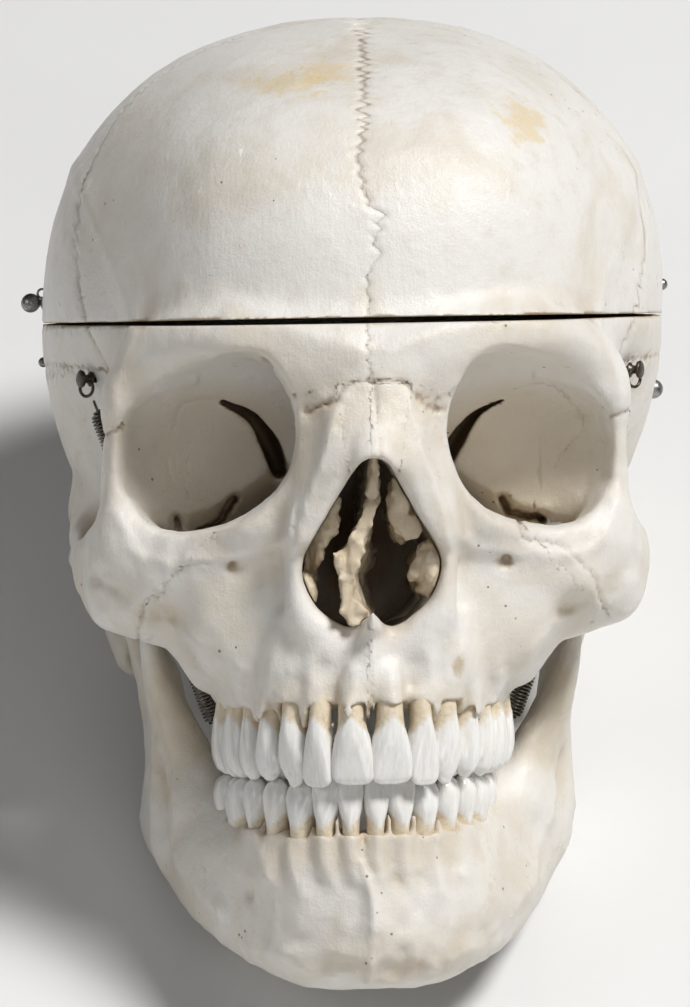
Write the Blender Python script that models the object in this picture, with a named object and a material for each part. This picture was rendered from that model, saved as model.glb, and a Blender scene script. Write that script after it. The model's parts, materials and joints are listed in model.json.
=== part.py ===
"""An anatomical teaching skull at life size: a sawn braincase with its lifted cap, the face, the jaw with both
rows of teeth, and the hooks and springs that hold cap and jaw.

The bone is modelled as clay: a grid holds how far each point lies outside the surface, and balls, strands
and slabs are blended on to it or cut from it. Thin flat cuts then part the skull into its bones, a seam's
width apart. The teeth are rings of points from root to edge, fused to their jaw with the roots sunk well in.

Sizes are millimetres in the skull's own frame: x to the skull's left, y to the back, z up, with the origin
midway between the ear holes and z = 0 on the Frankfurt plane. The last step leans the skull back on to jaw
and nape.
"""

import math
from collections import namedtuple
from copy import copy

import bmesh
import bpy
import numpy as np
import openvdb
from mathutils import Euler, Matrix, Vector

MM = 0.001
FAR = 6.0
WIDEST = 76
BLOCK_SIZE = 400
SHARP_EDGE = math.radians(50)
SIDES = {"left": 1, "right": -1}

# The braincase
VAULT_CENTRE = (0, 8, 50)
VAULT = dict(half=66.0, front=101, back=73, up=60.0, down=74, power=2.22)
BONE_THICK = 6.0
THINNEST_WALL = 4.0
SEAM = 0.3

# How finely the clay is meshed and thinned
CLAY_CELL = 1.25
SKULL_TRIANGLES = 4700
JAW_TRIANGLES = 1250
TOOTH_RINGS = 5
TOOTH_SIDES = 8

# The saw cut, open at the brow and closed at the back
SAW_FRONT = (0, -95, 41.4)
SAW_BACK = (0, 75, 48.4)
SAW_OPEN = 1.2

# The orbits: rim centre, apex, and radii every 30 degrees from the outer side upward
ORBIT_CENTRE = (32.7, -79, 18)
ORBIT_APEX = (13.0, -40, 12)
ORBIT_RADII = (17.7, 17.3, 15.9, 16.4, 19.6, 18.7, 17.4, 16.6, 15.9, 16.6, 19.2, 18.8)
ORBIT_RAKE = (0.52, -0.10)
ORBIT_WIDTHS = (1.0, 1.03, 0.96, 0.82, 0.64, 0.42, 0.14)

# The nose's opening as two circles on the midline, each (z, radius)
NOSE_TOP = (10.8, 3.9)
NOSE_BOTTOM = (-6.6, 12.6)

# The rows of teeth: the outer face of each arch is half an ellipse round (0, ARCH_BACK)
ARCH_BACK = -47
UPPER_ARCH = (32.0, 48.5)
LOWER_ARCH = (29.6, 43.8)
BITE_LEVEL = -49.4
UPPER_NECK = -38
LOWER_NECK = -57.8
ROOT_UNDER = 2.5
ROOT_RIDGES = 5

# The lower jaw hangs a little to the left, and its teeth stand a little to the right on it
JAW_SHIFT = 0.8
LOWER_SHIFT = -1.3

Kind = namedtuple("Kind", "shape width depth crown root")
UPPER_TEETH = (
    Kind("incisor", 8.7, 6.6, 11.2, 11), Kind("incisor", 6.6, 5.8, 11.2, 11), Kind("canine", 7.6, 7.6, 11.2,
                                                                                   14),
    Kind("premolar", 7.0, 8.6, 11.0, 11), Kind("premolar", 6.6, 8.6, 11.0, 11), Kind("molar", 10.0, 10.6,
                                                                                     10.9, 10),
    Kind("molar", 9.4, 10.2, 10.5, 9),
)
LOWER_TEETH = (
    Kind("incisor", 5.5, 5.6, 8.2, 10), Kind("incisor", 6.1, 5.8, 8.2, 10), Kind("canine", 7.0, 7.2, 8.2, 13),
    Kind("premolar", 7.0, 7.4, 8.2, 11), Kind("premolar", 7.0, 7.8, 8.2, 11), Kind("molar", 10.6, 9.8, 8.1,
                                                                                   10),
    Kind("molar", 10.2, 9.6, 8.0, 9),
)

# Sections of a tooth from root tip to biting edge: (height, width scale, depth scale, squareness,
# outward shift)
# The height runs from -1 at the root tip through 0 at the neck to 1 at the edge.
TOOTH_SECTIONS = {
    "incisor": ((-1, 0.22, 0.25, 2, -0.1), (-0.5, 0.5, 0.7, 2, -0.05), (0, 0.70, 0.92, 2, 0),
                (0.3, 0.86, 0.95, 2.3, 0),
                (0.65, 1.0, 0.66, 2.8, 0.04), (0.93, 0.98, 0.36, 3.4, 0.10), (1, 0.90, 0.22, 3.4, 0.12)),
    "canine": ((-1, 0.22, 0.25, 2, -0.1), (-0.5, 0.55, 0.7, 2, -0.05), (0, 0.76, 0.92, 2, 0),
               (0.3, 0.92, 1.0, 2.2, 0),
               (0.6, 1.0, 0.8, 2.3, 0.04), (0.85, 0.74, 0.5, 2.2, 0.08), (1, 0.26, 0.22, 2, 0.1)),
    "premolar": ((-1, 0.25, 0.3, 2, 0), (-0.5, 0.55, 0.75, 2, 0), (0, 0.76, 0.9, 2, 0),
                 (0.35, 0.94, 1.0, 2.3, 0),
                 (0.65, 1.0, 1.0, 2.4, 0), (0.9, 0.8, 0.82, 2.4, 0), (1, 0.5, 0.55, 2.2, 0)),
    "molar": ((-1, 0.35, 0.4, 2.2, 0), (-0.5, 0.7, 0.75, 2.4, 0), (0, 0.86, 0.9, 2.6, 0),
              (0.35, 0.97, 1.0, 2.8, 0),
              (0.65, 1.0, 1.0, 2.9, 0), (0.9, 0.88, 0.84, 2.9, 0), (1, 0.6, 0.58, 2.6, 0)),
}

# The planes that part the bones, each (point, outward normal)
MIDLINE = ((SEAM / 2, 0, 0), (-1, 0, 0))
CORONAL = ((0, -20, 107), (0, 0.922, -0.387))

# Each bone of the base as the planes that bound it, for the left side
NASAL = [MIDLINE, ((6.2, 0, 20), (1, 0, -0.15)), ((0, 0, 29.6), (0, 0, 1)), ((0, 0, 9), (0, 0, -1)),
         ((0, -88, 28), (0, 1, 0.35))]
ZYGOMATIC = [((0, 0, 22.5), (0, 0, 1)), ((29.6, 0, 2.8), (-0.717, 0, -0.697)),
             ((36, -56, 0), (-0.64, 0.77, 0))]
MAXILLA = [MIDLINE, ((0, -92, 27), (0, 0.47, 0.88)), ((0, -39, 0), (0, 1, 0))]
FRONTAL = [MIDLINE, ((0, 0, 28.6), (-0.14, 0, -1)), CORONAL]
PARIETAL = [((0, 0, 35.5), (0, 0, -1)), ((0, -20, 107), (0, -0.922, 0.387)), ((0, 46.5, 40), (0, 1, 0)),
            MIDLINE]
TEMPORAL = [((31, 0, 0), (-1, 0, 0)), ((36, -20, 0), (-0.663, -0.75, 0)), ((0, 33, 0), (0, 1, 0.2))]
OCCIPITAL = [((0, -7, -14), (0, -1, 0.35))]

# The plates in the nose: the leaning partition, and the curled shelves of the outer walls
PARTITION = ((-22, -4.5, 3.6), (-15, -3.8, 2.6), (-10, -5.2, 1.6), (-6, -5.6, 2.2), (-2, -3.6, 1.8),
             (3, -0.8, 1.6),
             (8, 0.3, 1.2), (18, 0.6, 1.0))
SHELVES = {
    "concha_right": [(-13.5, -86, -10, 2.4, 4.6), (-12.6, -70, -9, 2.6, 5.0), (-12.0, -54, -8, 2.2, 4.0)],
    "concha_left": [(11.4, -87, -7.5, 2.6, 5.2), (11.6, -70, -8, 2.6, 5.0), (12.0, -54, -8, 2.2, 4.0)],
    "middle_concha_left": [(6.0, -88, 4.5, 2.4, 5.6), (6.2, -72, 4, 2.2, 5.4), (6.4, -58, 4, 2.0, 4.4)],
}
NOSE_CLEARANCE = 0.9
PLATE_TRIANGLES = 170

Pin = namedtuple("Pin", "bone foot out shank stands head")

# Metal pins in the bone, placed where their shanks leave it
PINS = {
    "cap_pin_right": Pin("cap_parietal_right", (-65.6, 15, 50.5), (-1, 0, 0), 0.9, 1.5, 2.1),
    "cap_pin_left": Pin("cap_parietal_left", (65.6, 15, 52.3), (1, 0, 0), 0.8, 1.4, 1.3),
    "base_pin_right": Pin("parietal_right", (-65.0, 15, 37.6), (-1, 0, 0), 0.7, 0.3, 1.1),
    "base_screw_left": Pin("temporal_left", (64.0, 15, 29.5), (1, 0, 0), 1.0, 0.5, 2.1),
    "temple_hook_right": Pin("sphenoid", (-55.6, -42, 32.5), (-0.9, -0.44, 0), 0.9, 1.2, 1.9),
    "temple_hook_left": Pin("sphenoid", (55.6, -42, 32.5), (0.9, -0.44, 0), 0.9, 1.2, 1.9),
    "jaw_hook_right": Pin("mandible", (-30.0, -42, -47.5), (0.25, -0.06, 1), 0.9, 2.6, 1.3),
    "jaw_hook_left": Pin("mandible", (31.6, -42, -47.5), (-0.25, -0.06, 1), 0.9, 2.6, 1.3),
}
SHANK_SUNK = 3.5
DRILL_REACH = 12
SPRING_SIDES = 12
SPRING_TOP = Vector((55.2, -44.5, 27.5))
SPRING_FOOT = Vector((30.2, -42.5, -41.0))
SPRING_RADIUS = 2.0

# A real skull is never quite even: x shifts a little with height, and the left side stands a little higher
SKEW = Matrix(((1, 0, 0.004, -0.08), (0, 1, 0, 0), (0.018, 0, 1, 0), (0, 0, 0, 1)))

# The skull lies back on the two corners of its jaw and on its nape, each with a small flat on the floor
REST_LEAN = math.radians(38.3)
REST_ROLL = math.radians(0.8)
REST_TURN = Euler((-REST_LEAN, REST_ROLL, 0)).to_matrix()
REST_SPOT = Vector((0.29, 7.93, 46.6))
ON_FLOOR = ("mandible", "occipital")

BONE = ((0.72, 0.68, 0.61), 0.5)
STEEL = ((0.35, 0.34, 0.33), 0.35, 1.0)

Shape = namedtuple("Shape", "low high distance")
Seat = namedtuple("Seat", "kind spot along out up")


class Clay:
    """A block of clay from the midline out. Its depth is the distance outside the surface in millimetres."""

    def __init__(self, low, high, cell):
        low = np.array((0.0, *low), float)
        count = np.ceil((np.array((WIDEST, *high), float) - low) / cell).astype(int) + 1
        self.cell = cell
        self.axes = [low[i] + cell * np.arange(count[i]) for i in range(3)]
        self.depth = np.full(count, FAR, np.float32)

    def empty_copy(self):
        """The same block with nothing in it."""
        other = copy(self)
        other.depth = np.full_like(self.depth, FAR)
        return other

    def whole(self):
        """The same clay with its mirror image on the other side."""
        other = copy(self)
        other.depth = np.concatenate([self.depth[:0:-1], self.depth])
        other.axes = [np.concatenate([-self.axes[0][:0:-1], self.axes[0]]), *self.axes[1:]]
        return other

    def window(self, low, high):
        """The slices of the box from low to high, with the open grids of its coordinates."""
        spans = tuple(slice(*np.searchsorted(axis, (a, b))) for axis, a, b in zip(self.axes, low, high))
        grids = np.ix_(*(axis[span].astype(np.float32) for axis, span in zip(self.axes, spans)))
        return spans, grids

    def add(self, shape, blend=0.0):
        """Joins a shape on, with a fillet about as wide as blend."""
        reach = FAR + blend
        spans, grids = self.window(np.subtract(shape.low, reach), np.add(shape.high, reach))
        old = self.depth[spans]
        if old.size:
            self.depth[spans] = soft_low(old, shape.distance(*grids), blend)

    def cut(self, shape, blend=0.0):
        """Takes a shape away, with a rounded edge about as wide as blend."""
        reach = FAR + blend
        spans, grids = self.window(np.subtract(shape.low, reach), np.add(shape.high, reach))
        old = self.depth[spans]
        if old.size:
            self.depth[spans] = -soft_low(-old, shape.distance(*grids), blend)

    def swell(self, centre, reach, amount):
        """Pushes the surface out by amount at centre, fading over reach as a bell curve, or dents it."""
        reach = np.broadcast_to(np.array(reach, float), 3)
        centre = np.array(centre, float)
        spans, (x, y, z) = self.window(centre - 3 * reach, centre + 3 * reach)
        if self.depth[spans].size:
            fade = ((x - centre[0]) / reach[0]) ** 2 + ((y - centre[1]) / reach[1]) ** 2
            fade = fade + ((z - centre[2]) / reach[2]) ** 2
            self.depth[spans] -= np.float32(amount) * np.exp(-0.5 * fade)

    def mesh(self, name):
        """Meshes the zero surface, in millimetres."""
        limit = 3 * self.cell
        grid = openvdb.FloatGrid(limit)
        grid.copyFromArray(np.clip(self.depth, -limit, limit))
        points, quads = grid.convertToQuads(0.0)
        points = points.astype(float) * self.cell + [axis[0] for axis in self.axes]
        made = bpy.data.meshes.new(name)
        made.from_pydata(points.tolist(), [], quads.tolist())
        return made


def soft_low(a, b, blend):
    """The lower of two fields, rounded where they come within blend of each other."""
    if blend <= 0:
        return np.minimum(a, b)
    near = np.maximum(blend - np.abs(a - b), 0) / blend
    return np.minimum(a, b) - near * near * (blend * 0.25)


def turned(x, y, z, centre, axes):
    """The coordinates seen from centre, along the three unit axes, or the grid's own when axes is None."""
    x, y, z = x - centre[0], y - centre[1], z - centre[2]
    if axes is None:
        return x, y, z
    return tuple(x * axis[0] + y * axis[1] + z * axis[2] for axis in axes)


def axes_along(forward, up=(0, 0, 1)):
    """Three unit axes: across, along forward, and the rest of up."""
    forward = Vector(forward).normalized()
    across = forward.cross(Vector(up)).normalized()
    return [tuple(across), tuple(forward), tuple(across.cross(forward))]


def ball(centre, radii, axes=None):
    """An ellipsoid."""
    radii = np.broadcast_to(np.array(radii, float), 3)
    reach = radii if axes is None else np.full(3, max(radii))

    def distance(x, y, z):
        x, y, z = turned(x, y, z, centre, axes)
        near = np.sqrt((x / radii[0]) ** 2 + (y / radii[1]) ** 2 + (z / radii[2]) ** 2) + 1e-6
        slope = np.sqrt((x / radii[0] ** 2) ** 2 + (y / radii[1] ** 2) ** 2 + (z / radii[2] ** 2) ** 2) + 1e-6
        return near * (near - 1) / slope

    return Shape(np.subtract(centre, reach), np.add(centre, reach), distance)


def block(centre, half, round_by=2.0, axes=None):
    """A box with rounded edges."""
    half = np.array(half, float)
    reach = half if axes is None else np.full(3, np.linalg.norm(half))

    def distance(x, y, z):
        x, y, z = turned(x, y, z, centre, axes)
        sides = [np.abs(v) - (h - round_by) for v, h in zip((x, y, z), half)]
        outside = np.sqrt(sum(np.maximum(s, 0) ** 2 for s in sides))
        inside = np.minimum(np.maximum(np.maximum(sides[0], sides[1]), sides[2]), 0)
        return outside + inside - round_by

    return Shape(np.subtract(centre, reach), np.add(centre, reach), distance)


def smooth_path(points, steps):
    """Points along the Catmull-Rom curve through the given rows, which may hold more than three values."""
    points = np.array(points, float)
    padded = np.vstack([2 * points[0] - points[1], points, 2 * points[-1] - points[-2]])
    where = np.linspace(0, len(points) - 1, steps)
    span = np.minimum(where.astype(int), len(points) - 2)
    t = (where - span)[:, None]
    a, b, c, d = (padded[span + i] for i in range(4))
    return 0.5 * (2 * b + (c - a) * t + (2 * a - 5 * b + 4 * c - d) * t**2 + (3 * b - a - 3 * c + d) * t**3)


def strand(rows, flat=(0, 0, 1), steps=None):
    """A bent rod through rows of (x, y, z, radius, radius along flat)."""
    rows = [row if len(row) == 5 else (*row, row[3]) for row in rows]
    path = smooth_path(rows, steps or 4 * len(rows) - 3) if len(rows) > 2 else np.array(rows, float)
    flat = np.array(flat, float) / np.linalg.norm(flat)
    widest = path[:, 3:].max()

    def distance(x, y, z):
        best = None
        for a, b in zip(path, path[1:]):
            run = b[:3] - a[:3]
            px, py, pz = x - a[0], y - a[1], z - a[2]
            squash = 1 - ((a[3] + b[3]) / (a[4] + b[4])) ** 2
            pull = run - squash * (run @ flat) * flat
            t = np.clip((px * pull[0] + py * pull[1] + pz * pull[2]) / max(run @ pull, 1e-9), 0, 1)
            qx, qy, qz = px - t * run[0], py - t * run[1], pz - t * run[2]
            side = a[3] + t * (b[3] - a[3])
            tall = a[4] + t * (b[4] - a[4])
            up = qx * flat[0] + qy * flat[1] + qz * flat[2]
            level = np.maximum(qx * qx + qy * qy + qz * qz - up * up, 0)
            near = np.sqrt(level / side**2 + up * up / tall**2) + 1e-6
            slope = np.sqrt(level / side**4 + up * up / tall**4) + 1e-6
            found = near * (near - 1) / slope
            best = found if best is None else np.minimum(best, found)
        return best

    return Shape(path[:, :3].min(axis=0) - widest, path[:, :3].max(axis=0) + widest, distance)


def egg(centre, half, front, back, up, down, power):
    """A rounded box-like egg with its own reach to the sides, front, back, top and bottom."""

    def distance(x, y, z):
        x, y, z = x - centre[0], y - centre[1], z - centre[2]
        long = np.where(y < 0, front, back)
        tall = np.where(z > 0, up, down)
        parts = [np.abs(x) / half, np.abs(y) / long, np.abs(z) / tall]
        level = sum(p**power for p in parts) ** (1 / power) + 1e-6
        slopes = [(p / level) ** (power - 1) / s for p, s in zip(parts, (half, long, tall))]
        return (level - 1) / np.sqrt(sum(s * s for s in slopes) + 1e-9)

    low = np.subtract(centre, (half, front, down))
    return Shape(low, np.add(centre, (half, back, up)), distance)


def funnel(centre, apex, radii, rake, widths):
    """A round-cornered funnel that runs back from a raked rim.

    radii are the rim's radii at equal steps round centre, as (x, z) turns up from the x axis. rake is how far
    the rim moves back for each millimetre of x and z. widths are the scale of the section at equal steps from
    rim to apex.
    """
    turn = np.linspace(0, 2 * math.pi, len(radii) + 1)
    ring = smooth_path([(a, r) for a, r in zip(turn, [*radii, radii[0]])], 8 * len(radii) + 1)
    deep = smooth_path([(a, w) for a, w in zip(np.linspace(0, 1, len(widths)), widths)], 8 * len(widths))
    length = apex[1] - centre[1]

    def distance(x, y, z):
        t = (y - centre[1] - rake[0] * (x - centre[0]) - rake[1] * (z - centre[2])) / length
        inner = np.clip(t, 0, 1)
        scale = np.interp(inner, deep[:, 0], deep[:, 1]) - 0.25 * np.minimum(t, 0)
        px = x - centre[0] - inner * (apex[0] - centre[0])
        pz = z - centre[2] - inner * (apex[2] - centre[2])
        angle = np.mod(np.arctan2(pz, px), 2 * math.pi)
        radius = np.interp(angle, ring[:, 0], ring[:, 1]) * scale
        return np.maximum(np.hypot(px, pz) - radius, (t - 1) * length) * 0.85

    wide = 1.4 * max(radii)
    return Shape((centre[0] - wide, centre[1] - 22, centre[2] - wide),
                 (centre[0] + wide, apex[1], centre[2] + wide),
                 distance)


def pear(top, bottom, front, back):
    """A slot along y whose section tapers between two circles on the midline, each given as (z, radius)."""
    rise = top[0] - bottom[0]
    lean = (bottom[1] - top[1]) / rise
    level = math.sqrt(1 - lean * lean)

    def distance(x, y, z):
        side = np.abs(x)
        along = z - bottom[0]
        flank = side * level + along * lean - bottom[1]
        foot = side * -lean + along * level
        around = np.where(foot < 0, np.hypot(side, along) - bottom[1],
                          np.where(foot > rise * level, np.hypot(side, along - rise) - top[1], flank))
        return np.maximum(around, np.maximum(front - y, y - back))

    wide = bottom[1]
    return Shape((-wide, front, bottom[0] - wide), (wide, back, top[0] + top[1]), distance)


def braincase(clay):
    """The closed dome and the base of the skull, with ear holes, mastoids and the joint faces of the neck."""
    clay.add(egg(VAULT_CENTRE, **VAULT))
    for centre, reach, amount in (
        ((44, 32, 84), (16, 22, 18), 0.8),
        ((26, -80, 78), (16, 16, 15), 1.6),
        ((0, -60, 100), (20, 26, 14), -1.5),
        ((0, 72, 72), (26, 16, 16), -2.5),
        ((0, 80, 34), (30, 12, 20), 3.5),
        ((0, 72, 1), (9, 8, 6), 1.8),
        ((60, -5, 40), (12, 25, 20), 0.8),
        ((55, -62, 52), (12, 14, 22), -2.0),
    ):
        clay.swell(centre, reach, amount)
    clay.cut(ball((70, -50, -4), (26, 31, 44)), 9)
    clay.cut(block((56, -45, -30), (26, 24, 24), 8), 8)
    clay.cut(block((0, -70, -30), (40, 40, 22), 6), 6)
    clay.add(strand([(55, -12, 0.5, 3.2, 4), (57.5, 4, 3, 2.6, 3.5), (57, 24, 7, 2.4, 4),
                     (49, 44, 12, 1.5, 4)]), 8)
    clay.add(strand([(48, 17, -2, 9, 9), (47.2, 13, -14, 7.6, 7.6), (45.6, 9, -26, 4.8, 4.8)],
                    flat=(1, 0, 0)), 7)
    clay.cut(strand([(38, 24, -22, 2.5), (45, 4, -27, 2)]), 3)
    clay.cut(strand([(70, 3, 0.5, 4.4), (44, 3, 0, 3)]), 2)
    clay.add(strand([(58, -3, -5, 2.5), (52, -1, -8, 2.5), (44, 0, -9, 3)]), 3)
    clay.add(strand([(20, -18, -14, 7), (32, -6, -14, 6), (40, 4, -13, 6)]), 8)
    clay.add(strand([(34, 2, -14, 2.6), (32, -2, -32, 1.0)]), 3)
    clay.add(strand([(38, 50, 4, 1), (21, 64, 4, 1.2), (0, 71.5, 2, 2)]), 8)
    clay.add(strand([(0, 70, 0, 1.2), (0, 56, -12, 1.4), (0, 42, -18, 1.2)]), 7)
    clay.add(block((0, -10, -12), (11, 24, 8), 5), 8)
    clay.add(strand([(17, 14, -22, 5.5, 6), (19, 4, -24, 6, 6.5), (14, -5, -22, 4.5, 4.5)]), 4)


def brain_hollow(clay):
    """The hollow of the braincase and the great hole beneath it."""
    inner = {key: size - BONE_THICK for key, size in VAULT.items() if key != "power"}
    hollow = clay.empty_copy()
    hollow.add(egg(VAULT_CENTRE, power=VAULT["power"], **inner))
    hollow.cut(block((0, -74, -2), (80, 40, 42), 10), 8)
    hollow.cut(block((0, -28, -22), (80, 26, 26), 8), 8)
    hollow.add(ball((31, -26, 14), (21, 22, 17)), 10)
    hollow.cut(strand([(14, -12, 2, 8), (34, -2, 1, 9), (56, 8, 2, 9)], flat=(0, 0, 1)), 10)
    hollow.depth = np.maximum(hollow.depth, clay.depth + THINNEST_WALL)
    clay.depth = np.maximum(clay.depth, -hollow.depth)
    clay.cut(strand([(0, 16, -40, 14.5), (0, 20, -10, 14.5)], flat=(1, 0, 0)), 3)


def face(clay):
    """The brow, cheeks, upper jaw and nose, before their openings are cut."""
    clay.add(block((0, -66, 14), (30, 24, 20), 8), 10)
    clay.add(strand([(0, -88, 33, 7, 7), (16, -87.5, 36, 6.5, 6), (32, -83, 39.5, 6, 5),
                     (43.5, -73, 36, 5, 5),
                     (49, -67, 27, 4.0, 5)]), 7)
    clay.swell((0, -95, 35), (10, 6, 7), 2.4)
    clay.swell((15, -92, 40), (9, 6, 4), 1.2)
    clay.add(strand([(48.6, -67, 29, 3.6, 5), (50.6, -64, 18, 2.6, 5.5), (50.8, -63, 7, 3.0, 6),
                     (48.5, -66, -3, 6, 7)],
                    flat=(0, 1, 0)), 4)
    clay.add(strand([(34, -76, -7, 5, 5), (42, -71, -8, 6, 7), (49.5, -64, -8, 5, 8),
                     (54, -57, -7, 3.2, 7.5)],
                    flat=(0, 0, 1)), 5)
    clay.add(strand([(52.5, -62, -5, 3.2, 8), (56.6, -53, -6.5, 2.6, 6.8), (58.0, -40, -5, 2.0, 4.6),
                     (58.2, -24, -3.5, 1.9, 3.6), (56.6, -12, -0.5, 2.8, 3.0), (55.5, -4, 1.5, 3, 3)]), 4)
    clay.add(strand([(48, -68, 2, 5, 4), (39, -74, -2.2, 4.4, 4), (29, -80, -1, 4.4, 4),
                     (20.5, -84, 5, 3.8, 3.6),
                     (16, -85.5, 14, 3.4, 3.6), (12, -86.5, 25, 3.6, 3.6)], flat=(0, 1, 0)), 4)
    clay.add(ball((22, -71, -12), (17, 16, 20)), 5)
    clay.add(strand([(50, -61, -15, 4.5, 5), (44, -62, -17.5, 4.5, 5), (37, -62, -20, 4.5, 5),
                     (32, -60, -28, 4, 4)], flat=(0, 1, 0)), 7)
    clay.add(strand([(0, -88.5, -25.4, 4, 9.4), (9, -87, -25.4, 4.2, 9.4), (17, -82, -25.4, 4.6, 9.6),
                     (23, -74, -25.6, 4.8, 9.8), (26.4, -62, -25.8, 5, 10.2), (27.5, -50, -25.8, 5, 10),
                     (26, -41, -25, 4.6, 9)]), 3)
    clay.add(block((0, -62, -23), (20, 22, 5), 3), 5)
    clay.add(strand([(4.5, -89, 28, 5, 5), (8.5, -90, 18, 4.6, 5), (12, -91, 8, 4.2, 5),
                     (15, -89.5, -4, 4, 5),
                     (14.5, -88.5, -14, 4, 5), (9, -89, -22, 4, 4)], flat=(0, 1, 0)), 4)
    clay.add(strand([(0, -90, 31, 5.0, 4.5), (0, -95.5, 22, 4.6, 4.5), (0, -101, 14.5, 4.4, 3.6)],
                    flat=(0, 1, 0)), 5)
    clay.add(strand([(3, -91, 29, 4.5, 4), (5.5, -94.5, 21, 4, 4), (7, -96.5, 14, 3.4, 4),
                     (9.5, -94.5, 7, 3, 4),
                     (12.5, -92, 0, 3, 4)], flat=(0, 1, 0)), 5)
    clay.add(strand([(14, -38, 4, 4, 7), (15, -37, -10, 2, 6), (17, -35, -26, 1.4, 5)], flat=(0, 1, 0)), 4)
    clay.add(block((0, -34, 0), (15, 14, 12), 5), 6)
    clay.add(strand([(16, -40, 14, 3, 7), (28, -47, 14, 2.6, 9), (38, -56, 12, 2.2, 11),
                     (47, -62, 12, 2.2, 11)],
                    flat=(0, 0, 1)), 4)


def face_openings(clay):
    """The orbits and their clefts, the nose and the hollows of the cheeks."""
    clay.cut(funnel(ORBIT_CENTRE, ORBIT_APEX, ORBIT_RADII, ORBIT_RAKE, ORBIT_WIDTHS), 1.6)
    clay.cut(strand([(17, -46, 13, 1.6, 12), (19, -46, 18, 2.0, 12), (23, -48, 24, 1.6, 12),
                     (29, -52, 27, 0.9, 10)],
                    flat=(0, 1, 0)), 1)
    clay.cut(strand([(18, -46, 8.6, 1.8, 9), (26, -53, 5.6, 2.2, 9), (34, -59, 3.0, 2.3, 9),
                     (39, -62, 3.4, 1.7, 7)],
                    flat=(0, 0.7, -0.7)), 1)
    clay.cut(pear(NOSE_TOP, NOSE_BOTTOM, -120, -84), 1.2)
    clay.cut(pear((9, 7), (-7, 13), -86, -30), 2)
    clay.swell((21, -91, -8), (6, 6, 7), -2.4)
    clay.swell((28, -84, -14), (7, 6, 7), -2.8)
    clay.swell((7, -93, -23), (3.5, 6, 6), -1.0)
    clay.swell((17.5, -88, -22), (2.6, 6, 9), 1.1)
    clay.swell((0, -93, -24), (2.2, 3, 7), 1.4)
    clay.add(strand([(0, -88, -19.5, 2.4, 2.0), (0, -94.5, -18.5, 1.7, 1.6),
                     (-0.6, -97.5, -16.8, 0.9, 1.0)]), 2.5)
    clay.cut(strand([(26.0, -91, -9.6, 1.2, 1.5), (28.6, -80, -4.0, 1.3, 1.5)]), 1.6)
    clay.cut(strand([(20.5, -90, 34.5, 1.1), (21, -80, 30.5, 1.5)]), 1.6)
    clay.cut(ball((49, -12, -8.4), (11, 6, 5.8), axes_along((-0.25, 1, 0))), 1)


def lower_jaw(clay):
    """The lower jaw without its teeth."""
    clay.add(strand([(0, -76, -80.4, 7, 10), (12, -74.5, -80.4, 6.5, 10), (22.5, -66.5, -77.6, 5.5, 10),
                     (31, -51, -72, 5, 10), (36.2, -35, -67, 4.2, 10), (39.5, -20, -60, 3.4, 9)]), 6)
    clay.add(strand([(0, -84.8, -71.5, 4.4, 10.5), (8, -83.6, -71.5, 4.4, 10.5),
                     (15.5, -78.4, -70.5, 4.5, 10.5),
                     (21, -70, -68.5, 4.8, 10.5), (26.4, -56, -65, 5.4, 10.5), (32, -43, -58, 5, 10)]), 6)
    clay.add(strand([(30, -44, -60, 4.4, 10), (38.6, -32, -58, 3.6, 11)]), 6)
    clay.add(block((40.7, -22, -47), (2.8, 14, 20), 2.8, axes_along((0.03, 1, 0), (0.06, 0.12, 1))), 6)
    clay.add(strand([(39.5, -20, -61, 3.0, 5), (40.7, -10, -58, 3.0, 5), (41.7, -6, -47, 2.9, 4.5),
                     (42.9, -7, -34, 2.9, 4.5), (47, -10, -18, 3, 3.5), (48.5, -12, -11, 4, 4)],
                    flat=(0, 1, 0)), 5)
    clay.add(strand([(33, -46, -56, 5, 5), (35.4, -42, -46, 4.4, 5), (39.4, -38, -37, 3.6, 5),
                     (43, -35, -27, 2.6, 5),
                     (44.6, -35, -16, 1.8, 4), (44.4, -38, -9, 1.4, 2.4)], flat=(0, 1, 0)), 4)
    clay.add(ball((49, -12, -8.6), (9.5, 4.4, 4.2), axes_along((-0.25, 1, 0))), 3)
    clay.swell((0, -84, -86), (7, 6, 7), 2.4)
    clay.swell((0, -88, -72), (2.2, 5, 9), 0.9)
    clay.swell((14, -80, -87), (6, 6, 5), 1.6)
    clay.swell((9, -88, -71), (4.5, 6, 5), -1.1)
    clay.swell((44, -12, -60), (5, 9, 6), 1.0)
    clay.swell((41, -14, -70), (6, 8, 4), 0.9)
    clay.cut(strand([(26.5, -78, -73, 1.1), (22, -70, -72.5, 1.0)]), 1.4)


def seats(teeth, arch, neck):
    """Where each tooth of one side stands: its neck on the arch, with its own directions."""
    half, deep = arch
    turn = np.linspace(0, math.pi / 2, 400)
    curve = np.stack([half * np.sin(turn), ARCH_BACK - deep * np.cos(turn)], axis=1)
    length = np.concatenate([[0], np.cumsum(np.linalg.norm(np.diff(curve, axis=0), axis=1))])
    start = 0.55
    for kind in teeth:
        middle = start + kind.width / 2
        x, y = (np.interp(middle, length, curve[:, i]) for i in range(2))
        ahead = [np.interp(middle + 1, length, curve[:, i]) - np.interp(middle - 1, length, curve[:, i])
                 for i in range(2)]
        along = Vector((ahead[0], ahead[1], 0)).normalized()
        out = Vector((along.y, -along.x, 0))
        up = Vector((0, 0, 1 if neck > BITE_LEVEL else -1))
        spot = Vector((x, y, neck)) - out * (kind.depth / 2)
        yield Seat(kind, spot, along, out, up)
        start += kind.width


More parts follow.
